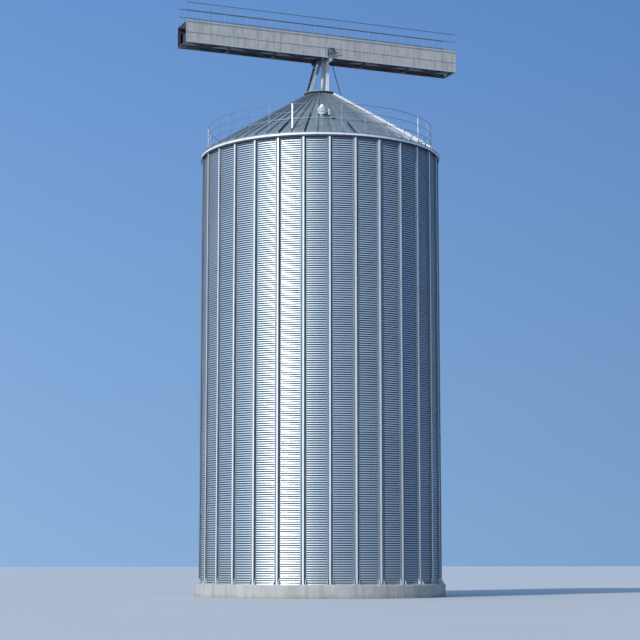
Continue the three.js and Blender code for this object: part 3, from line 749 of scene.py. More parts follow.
def plinth():
    """Cast ring with a chamfered top edge and a groove at each formwork joint."""
    outer, top = PLINTH[1].x, PLINTH[1].z
    inner = 5.33
    chamfer, groove, joints = 0.03, 0.008, 60
    profile = [(inner, 0.0), (outer - 0.004, 0.0), (outer, 0.02), (outer, top - chamfer),
               (outer - chamfer, top), (inner, top)]
    offsets = ((-0.22, 0), (-0.1, 1), (0.1, 1), (0.22, 0), (1.5, 0), (3.0, 0), (4.5, 0))
    columns = [(joint * 360 / joints + offset, deep) for joint in range(joints) for offset, deep in offsets]
    rows = []
    for radius, z in profile:
        cut = groove if radius > inner else 0
        rows.append([polar(radius - cut * deep, angle, z) for angle, deep in columns])
    shape = Shape()
    shape.loops(rows)
    shape.piece("plinth", CONCRETE, "concrete", ["foundation_ring"], smooth=30)


def base_ring():
    """Base plate with a foot at each stiffener: sole plate, two gussets and two anchor bolts."""
    low, high = BASE_RING[0].z, BASE_RING[1].z
    inner, outer = 5.64, 5.93
    ring_piece("base_plate_ring", [(inner, low), (outer, low), (outer, high), (inner, high)],
               FASTENER, "wall_galvanised", ["base_ring"])
    feet, nuts, studs = Shape(), [], []
    sole, nut, thick = 0.016, 0.022, 0.010
    sole_half, gusset_line, bolt_line = 0.175, 0.118, 0.148
    gusset = [(0.014, 0), (0.160, 0), (0.160, 0.03), (0.03, 0.26), (0.014, 0.26)]
    for k in range(STIFFENERS):
        angle = k * STIFFENER_STEP
        across = UP.cross(polar(1, angle))
        matrix = upright(angle, WALL_FACE)
        feet.box((-sole_half, 0.012, high), (sole_half, 0.175, high + sole), matrix)
        for side in BOTH:
            feet.prism(gusset, 0, thick, matrix @ along_x(side * gusset_line - thick / 2, 0, high + sole))
            nuts.append((matrix @ Vector((side * bolt_line, 0.12, high + sole)), UP, across))
            studs.append((nuts[-1][0] + UP * nut, UP, across))
    feet.piece("anchor_feet", SECTION, "wall_galvanised")
    bolts = Shape()
    bolts.bolts(nuts, 0.021, nut)
    bolts.bolts(studs, 0.012, 0.03)
    bolts.piece("anchor_bolts", FASTENER, "bright_galvanised")


# Eave and roof

def eave():
    """Eave angle with its deep lip, and a bolted cover at each joint between two stiffeners."""
    low, high, seat = EAVE_RING_LOW, EAVE_RING_HIGH, EAVE + SEAM
    inside = LIP_RADIUS - 0.012
    fold, thick = 0.005, 0.01
    foot, half = 5.705, 0.052
    cover_turn, bolt_turn = 0.7, 0.45
    band = [(foot, seat), (inside, seat), (inside, low + fold), (inside + fold, low),
            (LIP_RADIUS - fold, low), (LIP_RADIUS, low + fold), (LIP_RADIUS, high - fold),
            (LIP_RADIUS - fold, high), (inside, high), (inside, seat + thick), (foot, seat + thick)]
    ring_piece("eave_band", band, LIP, "bright_galvanised", ["eave_ring"])
    covers, bolts = Shape(), []
    for k in range(STIFFENERS):
        angle = (k + 0.5) * STIFFENER_STEP
        covers.arc([(0, -half), (0.003, -half), (0.003, half), (0, half)], LIP_RADIUS + 0.0005,
                   angle - cover_turn, angle + cover_turn, (low + high) / 2, cover_turn)
        for at in (angle - bolt_turn, angle + bolt_turn):
            bolts += [(polar(LIP_RADIUS + 0.0035, at, z), polar(1, at), UP)
                      for z in (low + 0.03, high - 0.03)]
    covers.piece("eave_covers", LIP, "bright_galvanised")
    bolt_heads("eave_bolts", bolts, 0.010, 0.008)
    # Dark skirt that hangs below the lip, in front of the stiffeners' heads: a dark sheet painted as the
    # lip's shadow
    hem, top = low - 0.075, EAVE - 0.001
    skirt = [(5.814, hem), (5.832, hem), (5.834, hem + 0.002), (5.834, top), (5.814, top)]
    ring_piece("eave_shadow_skirt", skirt, BLACK_STEEL_AND_SHADE, "dark_steel")


def roof_section(part):
    """(radius, [(degrees, height)]) across one roof sector; part is 0 at the edge and 1 at the peak."""
    radius = ROOF_EDGE + (ROOF_TOP_RADIUS - ROOF_EDGE) * part
    base, crown = (math.degrees((wide + (narrow - wide) * part) / radius)
                   for wide, narrow in (RIB_BASE, RIB_CROWN))
    half = RIB_STEP / 2
    bead = max(min(math.degrees(0.018 / radius), half - base - 0.05), 0.02)
    pan = SHEET - 0.003 * sin(pi * part)
    rib = [(-half, pan + 0.008), (-half + bead, pan), (-base, SHEET), (-crown, RIB_TOP), (crown, RIB_TOP),
           (base, SHEET), (half - bead, pan)]
    section = [(i * RIB_STEP + at, height) for i in range(RIBS_PER_SECTOR) for at, height in rib]
    return radius, section + [(RIBS_PER_SECTOR * RIB_STEP - half, pan + 0.008)]


def roof_sheets():
    """Panels with a raised rib at each joint, a low bead between, and slightly uneven pans."""
    span = 360 / ROOF_SECTORS
    middle = (RIBS_PER_SECTOR - 1) * RIB_STEP / 2
    seam = 0.0004
    for sector in range(ROOF_SECTORS):
        top, under = [], []
        for row in range(ROOF_ROWS + 1):
            radius, section = roof_section(row / ROOF_ROWS)
            shrink = 1 - seam / (radius * radians(span))
            z = roof_z(radius)
            line = []
            for k, (degrees, height) in enumerate(section):
                angle = sector * span + middle + (degrees - middle) * shrink
                uneven = 0.0012 * sin(3.1 * radius + 0.9 * k + sector) * sin(1.7 * k + 5 * radius)
                line.append((angle, height + uneven))
            top.append([polar(radius, angle, z + height) for angle, height in line])
            under.append([polar(radius, angle, z) for angle, _ in line])
        shape = Shape()
        shape.shell(top, under)
        shape.piece(f"roof_sheets_{sector + 1}", ROOF, "roof_galvanised", [f"roof_sector_{sector + 1}"],
                    smooth=28)


def roof_bolts():
    """Screws along the rib crowns."""
    first, spacing, count = 0.95, 0.3, 17
    for sector in range(ROOF_SECTORS):
        frames = [slope_frame(first + i * spacing, (sector * RIBS_PER_SECTOR + rib) * RIB_STEP, RIB_TOP)
                  for rib in range(RIBS_PER_SECTOR) for i in range(count)]
        places = [(f.translation, f.col[2].to_3d(), f.col[0].to_3d()) for f in frames]
        bolt_heads(f"roof_screws_{sector + 1}", places, 0.009, 0.007)


def lap_ring():
    """Hoop of flat bar across the rib crowns, with a clip over each second rib."""
    inner, outer = 4.246, 4.292
    lift = RIB_TOP + HOOP_GAP
    hoop = [(radius, roof_z(radius) + lift + rise) for radius, rise in
            ((inner, 0), (outer, 0), (outer, HOOP_THICK), (inner, HOOP_THICK))]
    ring_piece("roof_hoop", hoop, DULL, "bright_galvanised", ["roof_lap_ring"])
    clips = Shape()
    reach, half, thick = 0.036, 0.02, 0.006
    for angle in range(0, 360, 2 * RIB_STEP):
        matrix = slope_frame((inner + outer) / 2, angle, lift + HOOP_THICK)
        clips.box((-reach, -half, 0.0), (reach, half, 0.005), matrix)
        for x in (-reach, reach - thick):
            clips.box((x, -half, -0.016), (x + thick, half, 0.0), matrix)
    clips.piece("roof_hoop_clips", DULL, "bright_galvanised")


def peak():
    """Collar with its lip, and the lid of four plates round the inlet."""
    low, high = PEAK_RING[0].z, PEAK_RING[1].z
    inner, outer, lip = 0.70, 0.73, PEAK_RING[1].x
    collar = [(inner, low), (outer, low), (outer, high - 0.056), (lip - 0.004, high - 0.056),
              (lip, high - 0.052), (lip, high), (inner, high)]
    # The collar is near black: painted shade for the shadow under its lip
    ring_piece("peak_collar", collar, BLACK_STEEL_AND_SHADE, "weathered_steel", ["peak_ring"], ROUND // 2)
    lid = Shape()
    low, high = LID_LEFT[0].z, LID_LEFT[1].z
    radius = LID_RIGHT[1].x - 0.001
    left, right = LID_LEFT[1].x - 0.001, LID_RIGHT[0].x + 0.001
    turn_left, turn_right = math.acos(left / radius), math.acos(right / radius)
    seam = 0.003
    half = (right - left) / 2

    # The left and right plates are cut by a chord, the far and near ones fill what is between them
    def rim(start, end, steps):
        angles = [start + (end - start) * i / steps for i in range(steps + 1)]
        return [(radius * cos(angle), radius * sin(angle)) for angle in angles]

    lid.prism(rim(turn_left, 2 * pi - turn_left, 48), low, high)
    lid.prism(rim(-turn_right, turn_right, 48), low, high)
    left, right = left + seam, right - seam
    for start, end, edge in ((turn_right + seam, turn_left - seam, [(left, half), (right, half)]),
                             (seam - turn_left, -seam - turn_right, [(right, -half), (left, -half)])):
        outline = [(min(max(x, left), right), y) for x, y in rim(start, end, 6)]
        lid.prism(outline + edge, low, high)
    lid.piece("peak_cover", PALE, "weathered_steel",
              ["peak_lid_left", "peak_lid_right", "peak_lid_near", "peak_lid_far"], smooth=30)
    count, bolt_line = 24, 0.772
    places = [(polar(bolt_line, (k + 0.5) * 360 / count, high), UP, (1, 0, 0)) for k in range(count)]
    bolt_heads("peak_bolts", places, 0.013, 0.011)


def ladder():
    """Ladder up the roof: folded stringers and round rungs, resting on the hoop."""
    lift = RIB_TOP + HOOP_GAP + HOOP_THICK + SEAM
    run = (LADDER_FOOT - LADDER_TOP) / cos(ROOF_SLOPE)
    matrix = turn(LADDER_ANGLE) @ Matrix.Translation((LADDER_TOP, 0, roof_z(LADDER_TOP / FACET) + lift))
    matrix = matrix @ Matrix.Rotation(math.atan(tan(ROOF_SLOPE) / FACET), 4, "Y")
    half, depth, fold = LADDER_WIDTH / 2, LADDER_DEPTH, 0.005
    back = half - LADDER_STRINGER
    outline = [(half, 0), (half, depth), (back, depth), (back, depth - fold), (half - fold, depth - fold),
               (half - fold, fold), (back, fold), (back, 0)]
    shape = Shape()
    shape.loops([[(x, -y, z) for y, z in outline[::-1]] for x in (0, run)], matrix, True)
    shape.loops([[(x, y, z) for y, z in outline] for x in (0, run)], matrix, True)
    rungs = int(run / LADDER_SPACING)
    for i in range(rungs):
        x = (i + 0.5) * run / rungs
        ends = [matrix @ Vector((x, side * (half - fold), depth / 2)) for side in BOTH]
        shape.tube(*ends, 0.014, 10)
    shape.piece("roof_ladder_frame", BRIGHT, "bright_galvanised", ["roof_ladder"], smooth=40)


def vent():
    """Round vent on a neck that is cut to the slope: pressed slots, brim, low dome and skirt."""
    seat = roof_z(VENT_RADIUS / FACET) + SHEET + 0.0015
    matrix = turn(VENT_ANGLE) @ Matrix.Translation((VENT_RADIUS, 0, seat))
    slope = tan(ROOF_SLOPE) / FACET
    sides, presses = 96, 12
    body, inset = 0.1985, 0.017

    def level(radius, z, fall):
        """One loop of points; fall is the slope that it follows."""
        loop = [polar(radius, i * 360 / sides) for i in range(sides)]
        return [(p.x, p.y, z - p.x * fall) for p in loop]

    # The neck and the underside of the body follow the slope, the rest is level
    rings = [(0.138, 0.0, slope), (0.138, 0.097, slope), (0.190, 0.097, slope), (body, 0.106, slope),
             (body, 0.128, slope), (body, 0.132, slope), (body, 0.290, 0), (body, 0.294, 0),
             (0.1995, 0.322, 0), (body, 0.340, 0), (0.130, 0.349, 0), (0.127, 0.385, 0),
             (0.112, 0.430, 0), (0.086, 0.472, 0), (0.054, 0.502, 0), (0.018, 0.5145, 0)]
    rows = [level(*ring) for ring in rings]
    # The body is pressed in at its upright slots, three points wide
    slot_points = [i for i in range(sides) if i % (sides // presses) in (3, 4, 5)]
    for row in (5, 6):
        pressed = level(body - inset, *rings[row][1:])
        for i in slot_points:
            rows[row][i] = pressed[i]
    shape = Shape()
    shape.loops(rows, matrix, True)
    shape.piece("vent_cowl", COWL, "white_paint", ["roof_vent"], smooth=35)
    trim = Shape()
    skirt = ((0.139, 0.0), (0.150, 0.0), (0.150, 0.004), (0.142, 0.008), (0.139, 0.05))
    trim.loops([level(radius, z, slope) for radius, z in skirt], matrix)
    band = ((body - 0.002, 0.324), (body + 0.002, 0.324), (body + 0.002, 0.336), (body - 0.002, 0.336))
    trim.turned(band, sides, matrix)
    trim.piece("vent_trim", DULL, "bright_galvanised", smooth=35)
    # A dark strip in each slot: painted shade in the pressed recess
    slots = Shape()
    inner, half, thick = body - 0.020, 0.011, 0.005
    for k in range(presses):
        angle = (k + 0.5) * 360 / presses
        low = 0.140 - 0.182 * cos(radians(angle)) * slope
        slots.box((inner, -half, low), (inner + thick, half, 0.284), matrix @ turn(angle))
    slots.piece("vent_slot_shade", BLACK_STEEL_AND_SHADE, "dark_steel")
    # Short breather pipe with a collar, beside the vent
    foot = polar(BREATHER_RADIUS, BREATHER_ANGLE, roof_z(BREATHER_RADIUS) + SHEET - 0.002)
    pipe = Shape()
    for low, high, radius in ((0.0, 0.33, 0.034), (0.02, 0.05, 0.052)):
        pipe.tube(foot + UP * low, foot + UP * high, radius, 20, SIDE)
    pipe.piece("roof_breather", COWL, "white_paint", smooth=40)
    # Two dark angle cleats below the breather, one on a rib's crown and one on the sheet
    cleats = Shape()
    edge, thick = 0.030, 0.007
    for radius, angle, half, rise in ((4.02, -108, 0.14, RIB_TOP + 0.0005), (4.22, -103.9, 0.10, SHEET)):
        plane = slope_frame(radius, angle, rise)
        cleats.box((-0.045, -half, 0.0), (edge, half, thick), plane)
        cleats.box((edge - thick, -half, thick), (edge, half, 0.062), plane)
    cleats.piece("roof_cleats", BLACK_STEEL_AND_SHADE, "dark_steel")


def guard_rails():
    """Posts on the rib crowns with three round rails; a wide folded post starts each panel."""
    span = 360 / RAIL_PANELS
    foot_z = roof_z(RAIL_RADIUS) + RIB_TOP
    top = RAIL_LEVELS[-1] - 0.006
    wide, deep, fold, back = WIDE_POST / 2, 0.02, 0.006, 0.013
    folded = [(-wide, -deep), (-wide + fold, -deep), (-wide + fold, back), (wide - fold, back),
              (wide - fold, -deep), (wide, -deep), (wide, deep), (-wide, deep)]
    edge = math.degrees((wide + 0.002) / RAIL_RADIUS)
    wide_posts, slim_posts = Shape(), Shape()
    for panel in range(RAIL_PANELS):
        shape, bolts = Shape(), []
        first = RAIL_FIRST_POST + panel * span
        for k in range(RAIL_POSTS):
            angle = first + k * span / RAIL_POSTS
            holder, outline, half = slim_posts, angle_section(SLIM_POST, 0.004), 0.028
            if k == 0:
                holder, outline, half = wide_posts, folded, wide
            feet = [(x, y, 0.004 - y * tan(ROOF_SLOPE)) for x, y in outline]
            holder.loops([feet, [(x, y, top) for x, y in outline]], upright(angle, RAIL_RADIUS, foot_z), True)
            # The sole plate follows the slope of the rib
            sole = slope_frame(RAIL_RADIUS, angle, RIB_TOP + 0.0005)
            holder.box((-0.055, -half, 0), (0.055, half, 0.006), sole)
            bolts += [(sole @ Vector((along, 0.0, 0.006)), sole.col[2].to_3d(), sole.col[0].to_3d())
                      for along in (-0.042, 0.042)]
        # The tubes run from inside this panel's wide post to the next panel's
        for level, radius in zip(RAIL_LEVELS, RAIL_TUBES):
            shape.arc(circle(radius, 10), RAIL_RADIUS, first + edge * 0.2, first + span - edge,
                      foot_z + level - RAIL_BAR / 2)
        shape.piece(f"rail_panel_{panel + 1}", RAIL, "bright_galvanised", [f"guard_rail_{panel + 1}"],
                    smooth=35)
        bolt_heads(f"rail_bolts_{panel + 1}", bolts, 0.009, 0.008)
    wide_posts.piece("rail_gate_posts", BRIGHT, "bright_galvanised")
    slim_posts.piece("rail_posts", POSTS, "bright_galvanised")


# Trestle on the peak

def corner_bolts(x, y, z, reach):
    return [((x + dx, y + dy, z), UP, (1, 0, 0)) for dx in (-reach, reach) for dy in (-reach, reach)]


def trestle():
    """Two raking legs on the left, two white columns on the right, a cross beam over each pair."""
    foot, beam_top, half_y = LEGS[0].z, LEGS[1].z, LEGS[1].y
    beam_low = beam_top - 0.12
    leg_plate, column_plate = 0.014, 0.018
    leg_outline, sole_half = rectangle(0.094, 0.094), 0.085

    def on_rake(part, y):
        return Vector((LEG_FOOT_X + (LEG_TOP_X - LEG_FOOT_X) * part, y, foot + (beam_low - foot) * part))

    legs, near_leg, plates, columns, bolts = Shape(), Shape(), Shape(), Shape(), []
    for side in BOTH:
        y = side * LEG_Y
        leg = near_leg if side < 0 else legs
        leg.bar((LEG_FOOT_X, y, foot + 0.012), (LEG_TOP_X, y, beam_low), leg_outline, SIDE)
        plates.box((LEG_FOOT_X - sole_half, y - sole_half, foot),
                   (LEG_FOOT_X + sole_half, y + sole_half, foot + leg_plate))
        plates.box((LEG_TOP_X - 0.07, y - 0.075, beam_low - 0.012), (LEG_TOP_X + 0.07, y + 0.075, beam_low))
        bolts += corner_bolts(LEG_FOOT_X, y, foot + leg_plate, 0.066)
    # Narrow frame of bright flats between the two raking legs
    flats = Shape()
    for y in (-0.11, 0.11):
        flats.bar(on_rake(0.03, y * 1.25), on_rake(0.86, y), rectangle(0.014, 0.045), (1, 0, 0.2))
    for part in (0.1, 0.4, 0.7, 0.86):
        flats.bar(on_rake(part, -LEG_Y), on_rake(part, LEG_Y), rectangle(0.014, 0.036), (1, 0, 0.2))
    flats.piece("leg_braces", BRIGHT, "dark_steel")
    soften(legs.piece("raking_legs", DARK, "dark_steel", ["support_legs_left"]), 0.006)
    soften(near_leg.piece("raking_leg_near", LEG, "dark_steel"), 0.006)
    cross_beam("cross_beam_left", DARK, "dark_steel", LEG_TOP_X, half_y, beam_low, beam_top)
    gusset = [(0.072, 0), (0.094, 0), (0.094, 0.02), (0.078, 0.222), (0.072, 0.222)]
    for side in BOTH:
        y = side * COLUMN_Y
        for x_half, y_half, low, high in ((0.073, 0.073, foot + 0.016, beam_low - 0.012),
                                          (0.074, 0.088, beam_low - 0.012, beam_low),
                                          (0.095, 0.095, foot, foot + column_plate)):
            columns.box((COLUMN_X - x_half, y - y_half, low), (COLUMN_X + x_half, y + y_half, high))
        for quarter in range(4):
            spin = Matrix.Translation((COLUMN_X, y, foot + column_plate)) @ turn(quarter * 90)
            for shift in (-0.04, 0.05):
                columns.prism(gusset, 0, 0.01, spin @ along_y(0, shift, 0))
        bolts += corner_bolts(COLUMN_X, y, foot + column_plate, 0.083)
    soften(columns.piece("columns", WHITE, "white_paint", ["support_columns_right"]), 0.004)
    cross_beam("cross_beam_right", WHITE, "white_paint", COLUMN_X, half_y, beam_low, beam_top)
    soften(plates.piece("leg_plates", DARK, "dark_steel"), 0.002, 1)
    bolt_heads("trestle_bolts", bolts, 0.009, 0.010)


def cross_beam(name, material, slot, x, half_y, low, high):
    """I beam across the bridge, with stiffening plates over the legs and columns."""
    half, web, flange, thick = 0.07, 0.005, 0.009, 0.008
    outline = [(-half, low), (half, low), (half, low + flange), (web, low + flange), (web, high - flange),
               (half, high - flange), (half, high), (-half, high), (-half, high - flange),
               (-web, high - flange), (-web, low + flange), (-half, low + flange)]
    shape = Shape()
    shape.prism(outline, 0, 2 * half_y, along_y(x, half_y, 0))
    for y in (0.004 - half_y, -LEG_Y, -COLUMN_Y, COLUMN_Y - thick, LEG_Y - thick, half_y - 0.012):
        for side in BOTH:
            shape.box((x + side * web, y, low + flange),
                      (x + side * (half - 0.004), y + thick, high - flange))
    soften(shape.piece(name, material, slot), 0.002, 1)


def spout():
    """Drop pipe with a bolted flange at each end and one band at mid length."""
    low, high = SPOUT[0].z, SPOUT[1].z
    radius = SPOUT[1].x - SPOUT_X
    middle = (low + high) / 2
    pipe, band = radius - 0.002, radius + 0.006
    shape = Shape()
    shape.turned([(radius - 0.010, low), (radius + 0.035, low), (radius + 0.035, low + 0.010),
                  (pipe, low + 0.012), (pipe, middle - 0.03), (band, middle - 0.03), (band, middle + 0.03),
                  (pipe, middle + 0.03), (pipe, high - 0.012), (radius + 0.03, high - 0.010),
                  (radius + 0.03, high), (radius - 0.010, high)], 40, Matrix.Translation((SPOUT_X, 0, 0)))
    shape.piece("drop_pipe", PIPE, "weathered_steel", ["grain_spout"], smooth=35)
    places, count = [], 8
    for k in range(count):
        x, y, _ = Vector((SPOUT_X, 0, 0)) + polar(radius + 0.02, (k + 0.5) * 360 / count)
        places += [((x, y, low + 0.010), UP, (1, 0, 0)), ((x, y, high - 0.010), -UP, (1, 0, 0))]
    bolt_heads("drop_pipe_bolts", places, 0.008, 0.007)


def stay():
    """Round rod from the floor frame to a cleat on the roof rib."""
    half = 0.02
    foot, top = Vector((STAY[1].x - half, 0, STAY[0].z)), Vector((STAY[0].x + half, 0, STAY[1].z))
    along = (top - foot).normalized()
    shape = Shape()
    # The rod, its sleeve and a cleat at each end
    shape.tube(foot + along * 0.05, top - along * 0.02, 0.0185, 16, SIDE)
    shape.tube(foot + along * 0.28, foot + along * 0.46, 0.0195, 16, SIDE)
    shape.box((foot.x - half, -half, foot.z), (foot.x + half, half, foot.z + 0.07))
    shape.box((top.x - half, -half, top.z - 0.06), (top.x + half, half, top.z))
    shape.piece("stay_rod", STAY_PAINT, "weathered_steel", ["bridge_stay"], smooth=40)


# Bridge

def girders():
    """Side girders: close ribs on the upper tier, a ledge, and bolted strips over both tiers."""
    low, high = GIRDER[0].z, GIRDER[1].z
    middle = (low + high) / 2
    face = DECK_HALF
    back, lip, thick, ledge = face - 0.008, face - 0.08, 0.010, face + 0.020
    section = [(lip, low), (face, low), (face, middle - thick), (ledge, middle - thick),
               (ledge + 0.002, middle - 0.008), (ledge + 0.002, middle), (face, middle), (face, high),
               (lip, high), (lip, high - thick), (back, high - thick), (back, low + thick),
               (lip, low + thick)]
    count = BAYS * 6
    for side, name in BRIDGE_SIDES:
        shape, ribs, edge, bolts = Shape(), Shape(), Shape(), []
        outline = section if side > 0 else [(-y, z) for y, z in section[::-1]]
        shape.prism(outline, 0, 2 * BRIDGE_HALF, along_x(-BRIDGE_HALF, 0, 0))
        soften(shape.piece(f"girder_{name}", GIRDER_STEEL, "weathered_steel", [f"bridge_girder_{name}"]),
               0.0015, 1)
        for i in range(count + 1):
            x = -BRIDGE_HALF + 0.02 + i * (2 * BRIDGE_HALF - 0.04) / count
            main = i % 3 == 0
            half, proud = (0.020, 0.012) if main else (0.012, 0.008)
            y0, y1 = side * face, side * (face + proud)
            ribs.box((x - half, y0, middle + 0.004), (x + half, y1, high - 0.014))
            if main:
                ribs.box((x - half, y0, low + 0.014), (x + half, y1, middle - 0.016))
                heights = [low + 0.05 + k * (high - low - 0.10) / 8 for k in range(9)]
                bolts += [((x, y1, z), (0, side, 0), (1, 0, 0)) for z in heights if abs(z - middle) > 0.03]
        # Edge strips, the bottom one deeper and brighter, its light tone a painted highlight along the lower
        # edge
        outer = side * (face + 0.014)
        ribs.box((-BRIDGE_HALF, side * face, high - 0.012), (BRIDGE_HALF, outer, high))
        edge.box((-BRIDGE_HALF, side * face, low), (BRIDGE_HALF, outer, low + 0.036))
        edge.piece(f"girder_edge_{name}", SECTION, "weathered_steel")
        ribs.piece(f"girder_ribs_{name}", WEATHERED, "weathered_steel")
        bolt_heads(f"girder_bolts_{name}", bolts, 0.011, 0.009)


def deck():
    """Open bar grating in panels of one bay, with bearing bars along the bridge."""
    low, high = DECK[0].z, DECK[1].z
    pitch, thick, cross = 0.0325, 0.004, 24
    count = int((2 * DECK_HALF - 0.01) / pitch)
    shape = Shape()
    for bay in range(BAYS):
        x0 = -BRIDGE_HALF + bay * BAY + 0.004
        x1 = x0 + BAY - 0.008
        for i in range(count + 1):
            y = -DECK_HALF + 0.003 + i * (2 * DECK_HALF - 0.006) / count
            shape.box((x0, y - thick / 2, low), (x1, y + thick / 2, high))
        for i in range(cross + 1):
            x = x0 + 0.003 + i * (x1 - x0 - 0.006) / cross
            deep = low if i in (0, cross) else high - 0.012
            shape.box((x - 0.003, -DECK_HALF, deep), (x + 0.003, DECK_HALF, high + 0.0004))
    shape.piece("deck_grating", GRATING, "weathered_steel", ["bridge_deck"])


def casing():
    """Closed conveyor casing: flanged lengths with a lid, lid clamps and bolted end flanges."""
    low, high = CASING[0].z, CASING[1].z
    half = CASING[1].y
    rim = 0.022
    shape, clamps = Shape(), Shape()
    shape.box((-BRIDGE_HALF, -half + 0.014, low), (BRIDGE_HALF, half - 0.014, high - 0.006))
    shape.box((-BRIDGE_HALF, -half + 0.002, high - rim), (BRIDGE_HALF, half - 0.002, high))
    for i in range(BAYS + 1):
        x = -BRIDGE_HALF + i * BAY
        shape.box((max(-BRIDGE_HALF, x - 0.010), -half, low), (min(BRIDGE_HALF, x + 0.010), half, high))
    soften(shape.piece("conveyor_housing", HOUSING, "dark_steel", ["conveyor_casing"]), 0.002, 1)
    for i in range(BAYS * 4):
        x = -BRIDGE_HALF + (i + 0.5) * BAY / 4
        for side in BOTH:
            clamps.box((x - 0.015, side * (half - 0.016), high - 0.07),
                       (x + 0.015, side * (half - 0.001), high - rim))
    clamps.piece("housing_clamps", DARK, "dark_steel")
    places = [((side * (BRIDGE_HALF - 0.002), y, z), (side, 0, 0), UP) for side in BOTH
              for y in (-0.17, -0.06, 0.06, 0.17) for z in (low + 0.03, high - 0.04)]
    bolt_heads("housing_end_bolts", places, 0.010, 0.002)


def dress_node(name, material):
    """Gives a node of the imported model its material."""
    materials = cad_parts[name].data.materials
    materials.clear()
    materials.append(material)


def floor_frame():
    """Gussets with bolts under the joints of the floor frame."""
    # The floor frame is near black: painted shade for the bridge's underside
    dress_node("bridge_floor_frame", BLACK_STEEL_AND_SHADE)
    gussets, bolts = Shape(), []
    below = FLOOR_LOW - 0.006
    for i in range(BAYS + 1):
        x = -BRIDGE_HALF + 0.04 + i * (2 * BRIDGE_HALF - 0.08) / BAYS
        x0, x1 = max(x - 0.14, -BRIDGE_HALF), min(x + 0.14, BRIDGE_HALF)
        for side in BOTH:
            gussets.box((x0, side * (DECK_HALF - 0.09), below), (x1, side * (DECK_HALF - 0.26), FLOOR_LOW))
            bolts += [((x + dx, side * (DECK_HALF - 0.175), below), -UP, (1, 0, 0))
                      for dx in (-0.1, 0.0, 0.1) if abs(x + dx) < BRIDGE_HALF - 0.02]
    gussets.piece("floor_gussets", DARK, "dark_steel")
    bolt_heads("floor_bolts", bolts, 0.011, 0.009)


def bridge_rails():
    """Angle posts with a flat toe board, a middle rail and a top rail of round tube."""
    low, high = BRIDGE_RAIL[0].z, BRIDGE_RAIL[1].z
    bar = 0.04
    board_top, board_rim = low + 0.082, low + 0.10
    middle = low + (0.10 + (high - low)) / 2 + bar / 2
    for side, name in BRIDGE_SIDES:
        shape, posts, board, bolts = Shape(), Shape(), Shape(), []
        y = side * (DECK_HALF - bar / 2)
        for i in range(BAYS * 2 + 1):
            x = (i / (BAYS * 2) - 0.5) * (2 * BRIDGE_HALF - bar)
            outline = [(x + a, y + side * b) for a, b in angle_section(bar, 0.005)]
            posts.prism(outline[::side], low, high - 0.012)
            posts.box((x - 0.019, y - 0.019, low), (x + 0.019, y + 0.019, low + 0.006))
            bolts += [((x - 0.008, side * (DECK_HALF - 0.003), z), (0, side, 0), (1, 0, 0))
                      for z in (low + 0.03, low + 0.075)]
        y0, y1 = side * (DECK_HALF - 0.002), side * (DECK_HALF - 0.008)
        board.box((-BRIDGE_HALF, y0, low + 0.004), (BRIDGE_HALF, y1, board_top))
        shape.box((-BRIDGE_HALF, y0, board_top), (BRIDGE_HALF, y1, board_rim))
        for z, radius in ((high - 0.0195, 0.0193), (middle, 0.0165)):
            shape.tube((-BRIDGE_HALF, y, z), (BRIDGE_HALF, y, z), radius, 12)
        shape.piece(f"walk_rail_{name}", WALK_RAIL, "weathered_steel", [f"bridge_rail_{name}"], smooth=40)
        posts.piece(f"walk_posts_{name}", POSTS, "weathered_steel")
        board.piece(f"toe_board_{name}", WEATHERED, "weathered_steel")
        bolt_heads(f"walk_rail_bolts_{name}", bolts, 0.007, 0.005)


def gate_drive():
    """Gate actuator on its plate: finned drum, edge bars and a bent lever."""
    (left, front, low), (right, back, high) = GATE
    face = back - 0.012
    x, z = (left + right) / 2, (low + high) / 2
    plate, edges, drum, lever = Shape(), Shape(), Shape(), Shape()
    plate.box((left, face, low), (right, back, high))
    soften(plate.piece("gate_plate", WEATHERED, "dark_steel", ["gate_drive"]), 0.003)
    # Dark bars along the plate's edges, broken at the top left and the lower right
    proud, leg = face - 0.045, 0.030
    edges.box((left, proud, low), (left + leg, face, high))
    edges.box((left + 0.09, proud, high - leg), (right, face, high))
    edges.box((right - leg, proud, z - 0.02), (right, face, high - leg))
    edges.box((left + leg, proud, low), (left + 0.11, face, low + leg))
    soften(edges.piece("gate_edges", BLACK_STEEL_AND_SHADE, "dark_steel"), 0.002, 1)
    depth = face - front
    rings = [(0.10, 0.0), (0.128, 0.006)]
    fins, crest, valley = 5, 0.130, 0.112
    for i in range(fins):
        start = 0.012 + i * (depth - 0.03) / fins
        rings += [(crest, start), (crest, start + 0.006), (valley, start + 0.008), (valley, start + 0.013)]
    rings += [(0.118, depth - 0.012), (0.108, depth - 0.002), (0.04, depth)]
    drum.turned(rings, 36, along_y(x, face, z), True)
    drum.piece("gate_drum", DRUM, "dark_steel", smooth=35)
    y, radius = face - 0.03, 0.018
    for x0, z0, x1, z1 in ((0.10, -0.01, 0.24, -0.040), (0.235, -0.040, 0.36, -0.015),
                           (0.355, -0.017, 0.46, 0.045)):
        lever.tube((x + x0, y, z + z0), (x + x1, y, z + z1), radius, 12, SIDE)
    lever.piece("gate_lever", BLACK_STEEL_AND_SHADE, "dark_steel", smooth=40)
    places = [((x + dx, face, z + dz), (0, -1, 0), (1, 0, 0)) for dx in (-0.13, 0.13) for dz in (-0.16, 0.15)]
    bolt_heads("gate_bolts", places, 0.012, 0.010)


# Stage

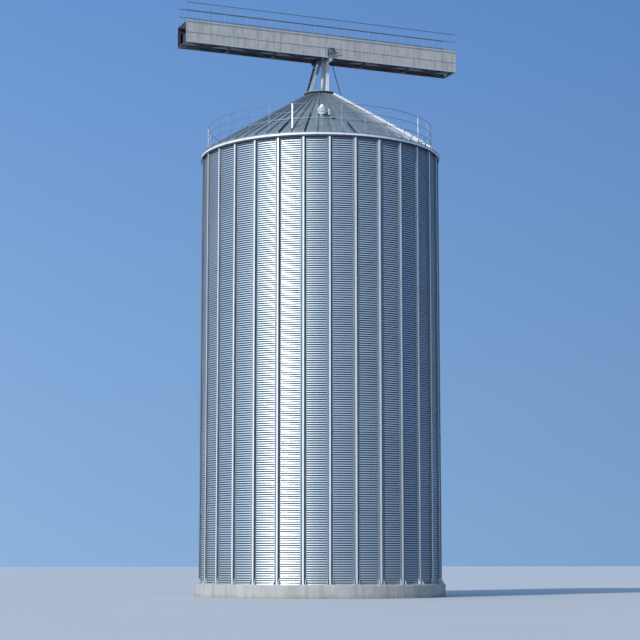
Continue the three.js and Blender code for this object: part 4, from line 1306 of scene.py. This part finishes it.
def stage():
    size, below = 600, -0.002
    mesh = bpy.data.meshes.new("floor")
    mesh.from_pydata([(-size, -size, below), (size, -size, below), (size, size, below), (-size, size, below)],
                     [], [(0, 1, 2, 3)])
    floor = placed("floor", mesh)
    g = Graph("floor", 0.0)
    g.base(g.noise(0.05, 3), (0.43, 0.44, 0.45), (0.48, 0.49, 0.50))
    mesh.materials.append(g.finish(g.spread(g.noise(0.2, 3), 0, 1, 0.75, 0.85)))


def light():
    """Soft sky and one sun."""
    world = bpy.data.worlds.new("studio")
    bpy.context.scene.world = world
    world.use_nodes = True
    sky = Nodes(world.node_tree)
    place = sky.node("ShaderNodeTexCoord").outputs["Generated"]
    dome = sky.ramp(sky.split(place)[2],
                    ((0.0, (0.43, 0.61, 0.84)), (0.36, (0.19, 0.37, 0.72)), (0.80, (0.56, 0.76, 1.0))))
    # The dome is brighter and whiter on the key side
    key = radians(KEY_AZIMUTH)
    toward = sky.node("ShaderNodeVectorMath", {0: place, 1: (sin(key), -cos(key), 0)},
                      operation="DOT_PRODUCT")
    tint = sky.ramp(sky.spread(toward.outputs["Value"], -1.0, 1.0),
                    ((0.0, (0.18, 0.29, 0.40)), (1.0, (1.08, 1.06, 1.03)), (0.5, (0.54, 0.65, 0.77))))
    background = world.node_tree.nodes["Background"]
    sky.set(background.inputs["Color"], sky.mix(1.0, dome, tint, "MULTIPLY"))
    background.inputs["Strength"].default_value = 1.1

    sun = bpy.data.lights.new("sun", "SUN")
    sun.energy = 3.3
    sun.angle = radians(3)
    sun.color = (1.0, 0.955, 0.90)
    azimuth, elevation = radians(SUN_AZIMUTH), radians(SUN_ELEVATION)
    source = Vector((sin(azimuth) * cos(elevation), -cos(azimuth) * cos(elevation), sin(elevation)))
    placed("sun", sun).rotation_euler = (-source).to_track_quat("-Z", "Y").to_euler()


def camera():
    data = bpy.data.cameras.new("camera")
    data.sensor_width = 36
    data.lens = CAMERA_LENS
    data.clip_end = 2000
    eye = placed("camera", data)
    azimuth = radians(CAMERA_AZIMUTH)
    eye.location = (sin(azimuth) * CAMERA_DISTANCE, -cos(azimuth) * CAMERA_DISTANCE, CAMERA_HEIGHT)
    eye.rotation_euler = (UP * CAMERA_AIM - Vector(eye.location)).to_track_quat("-Z", "Y").to_euler()
    bpy.context.scene.camera = eye


bpy.context.scene.view_settings.view_transform = "Standard"
camera()
stage()
light()
dress_node("floor_slab", CONCRETE)
plinth()
base_ring()
wall_sheets()
stiffeners()
wall_bolts()
eave()
roof_sheets()
roof_bolts()
lap_ring()
peak()
ladder()
vent()
guard_rails()
trestle()
spout()
stay()
girders()
deck()
casing()
floor_frame()
bridge_rails()
gate_drive()
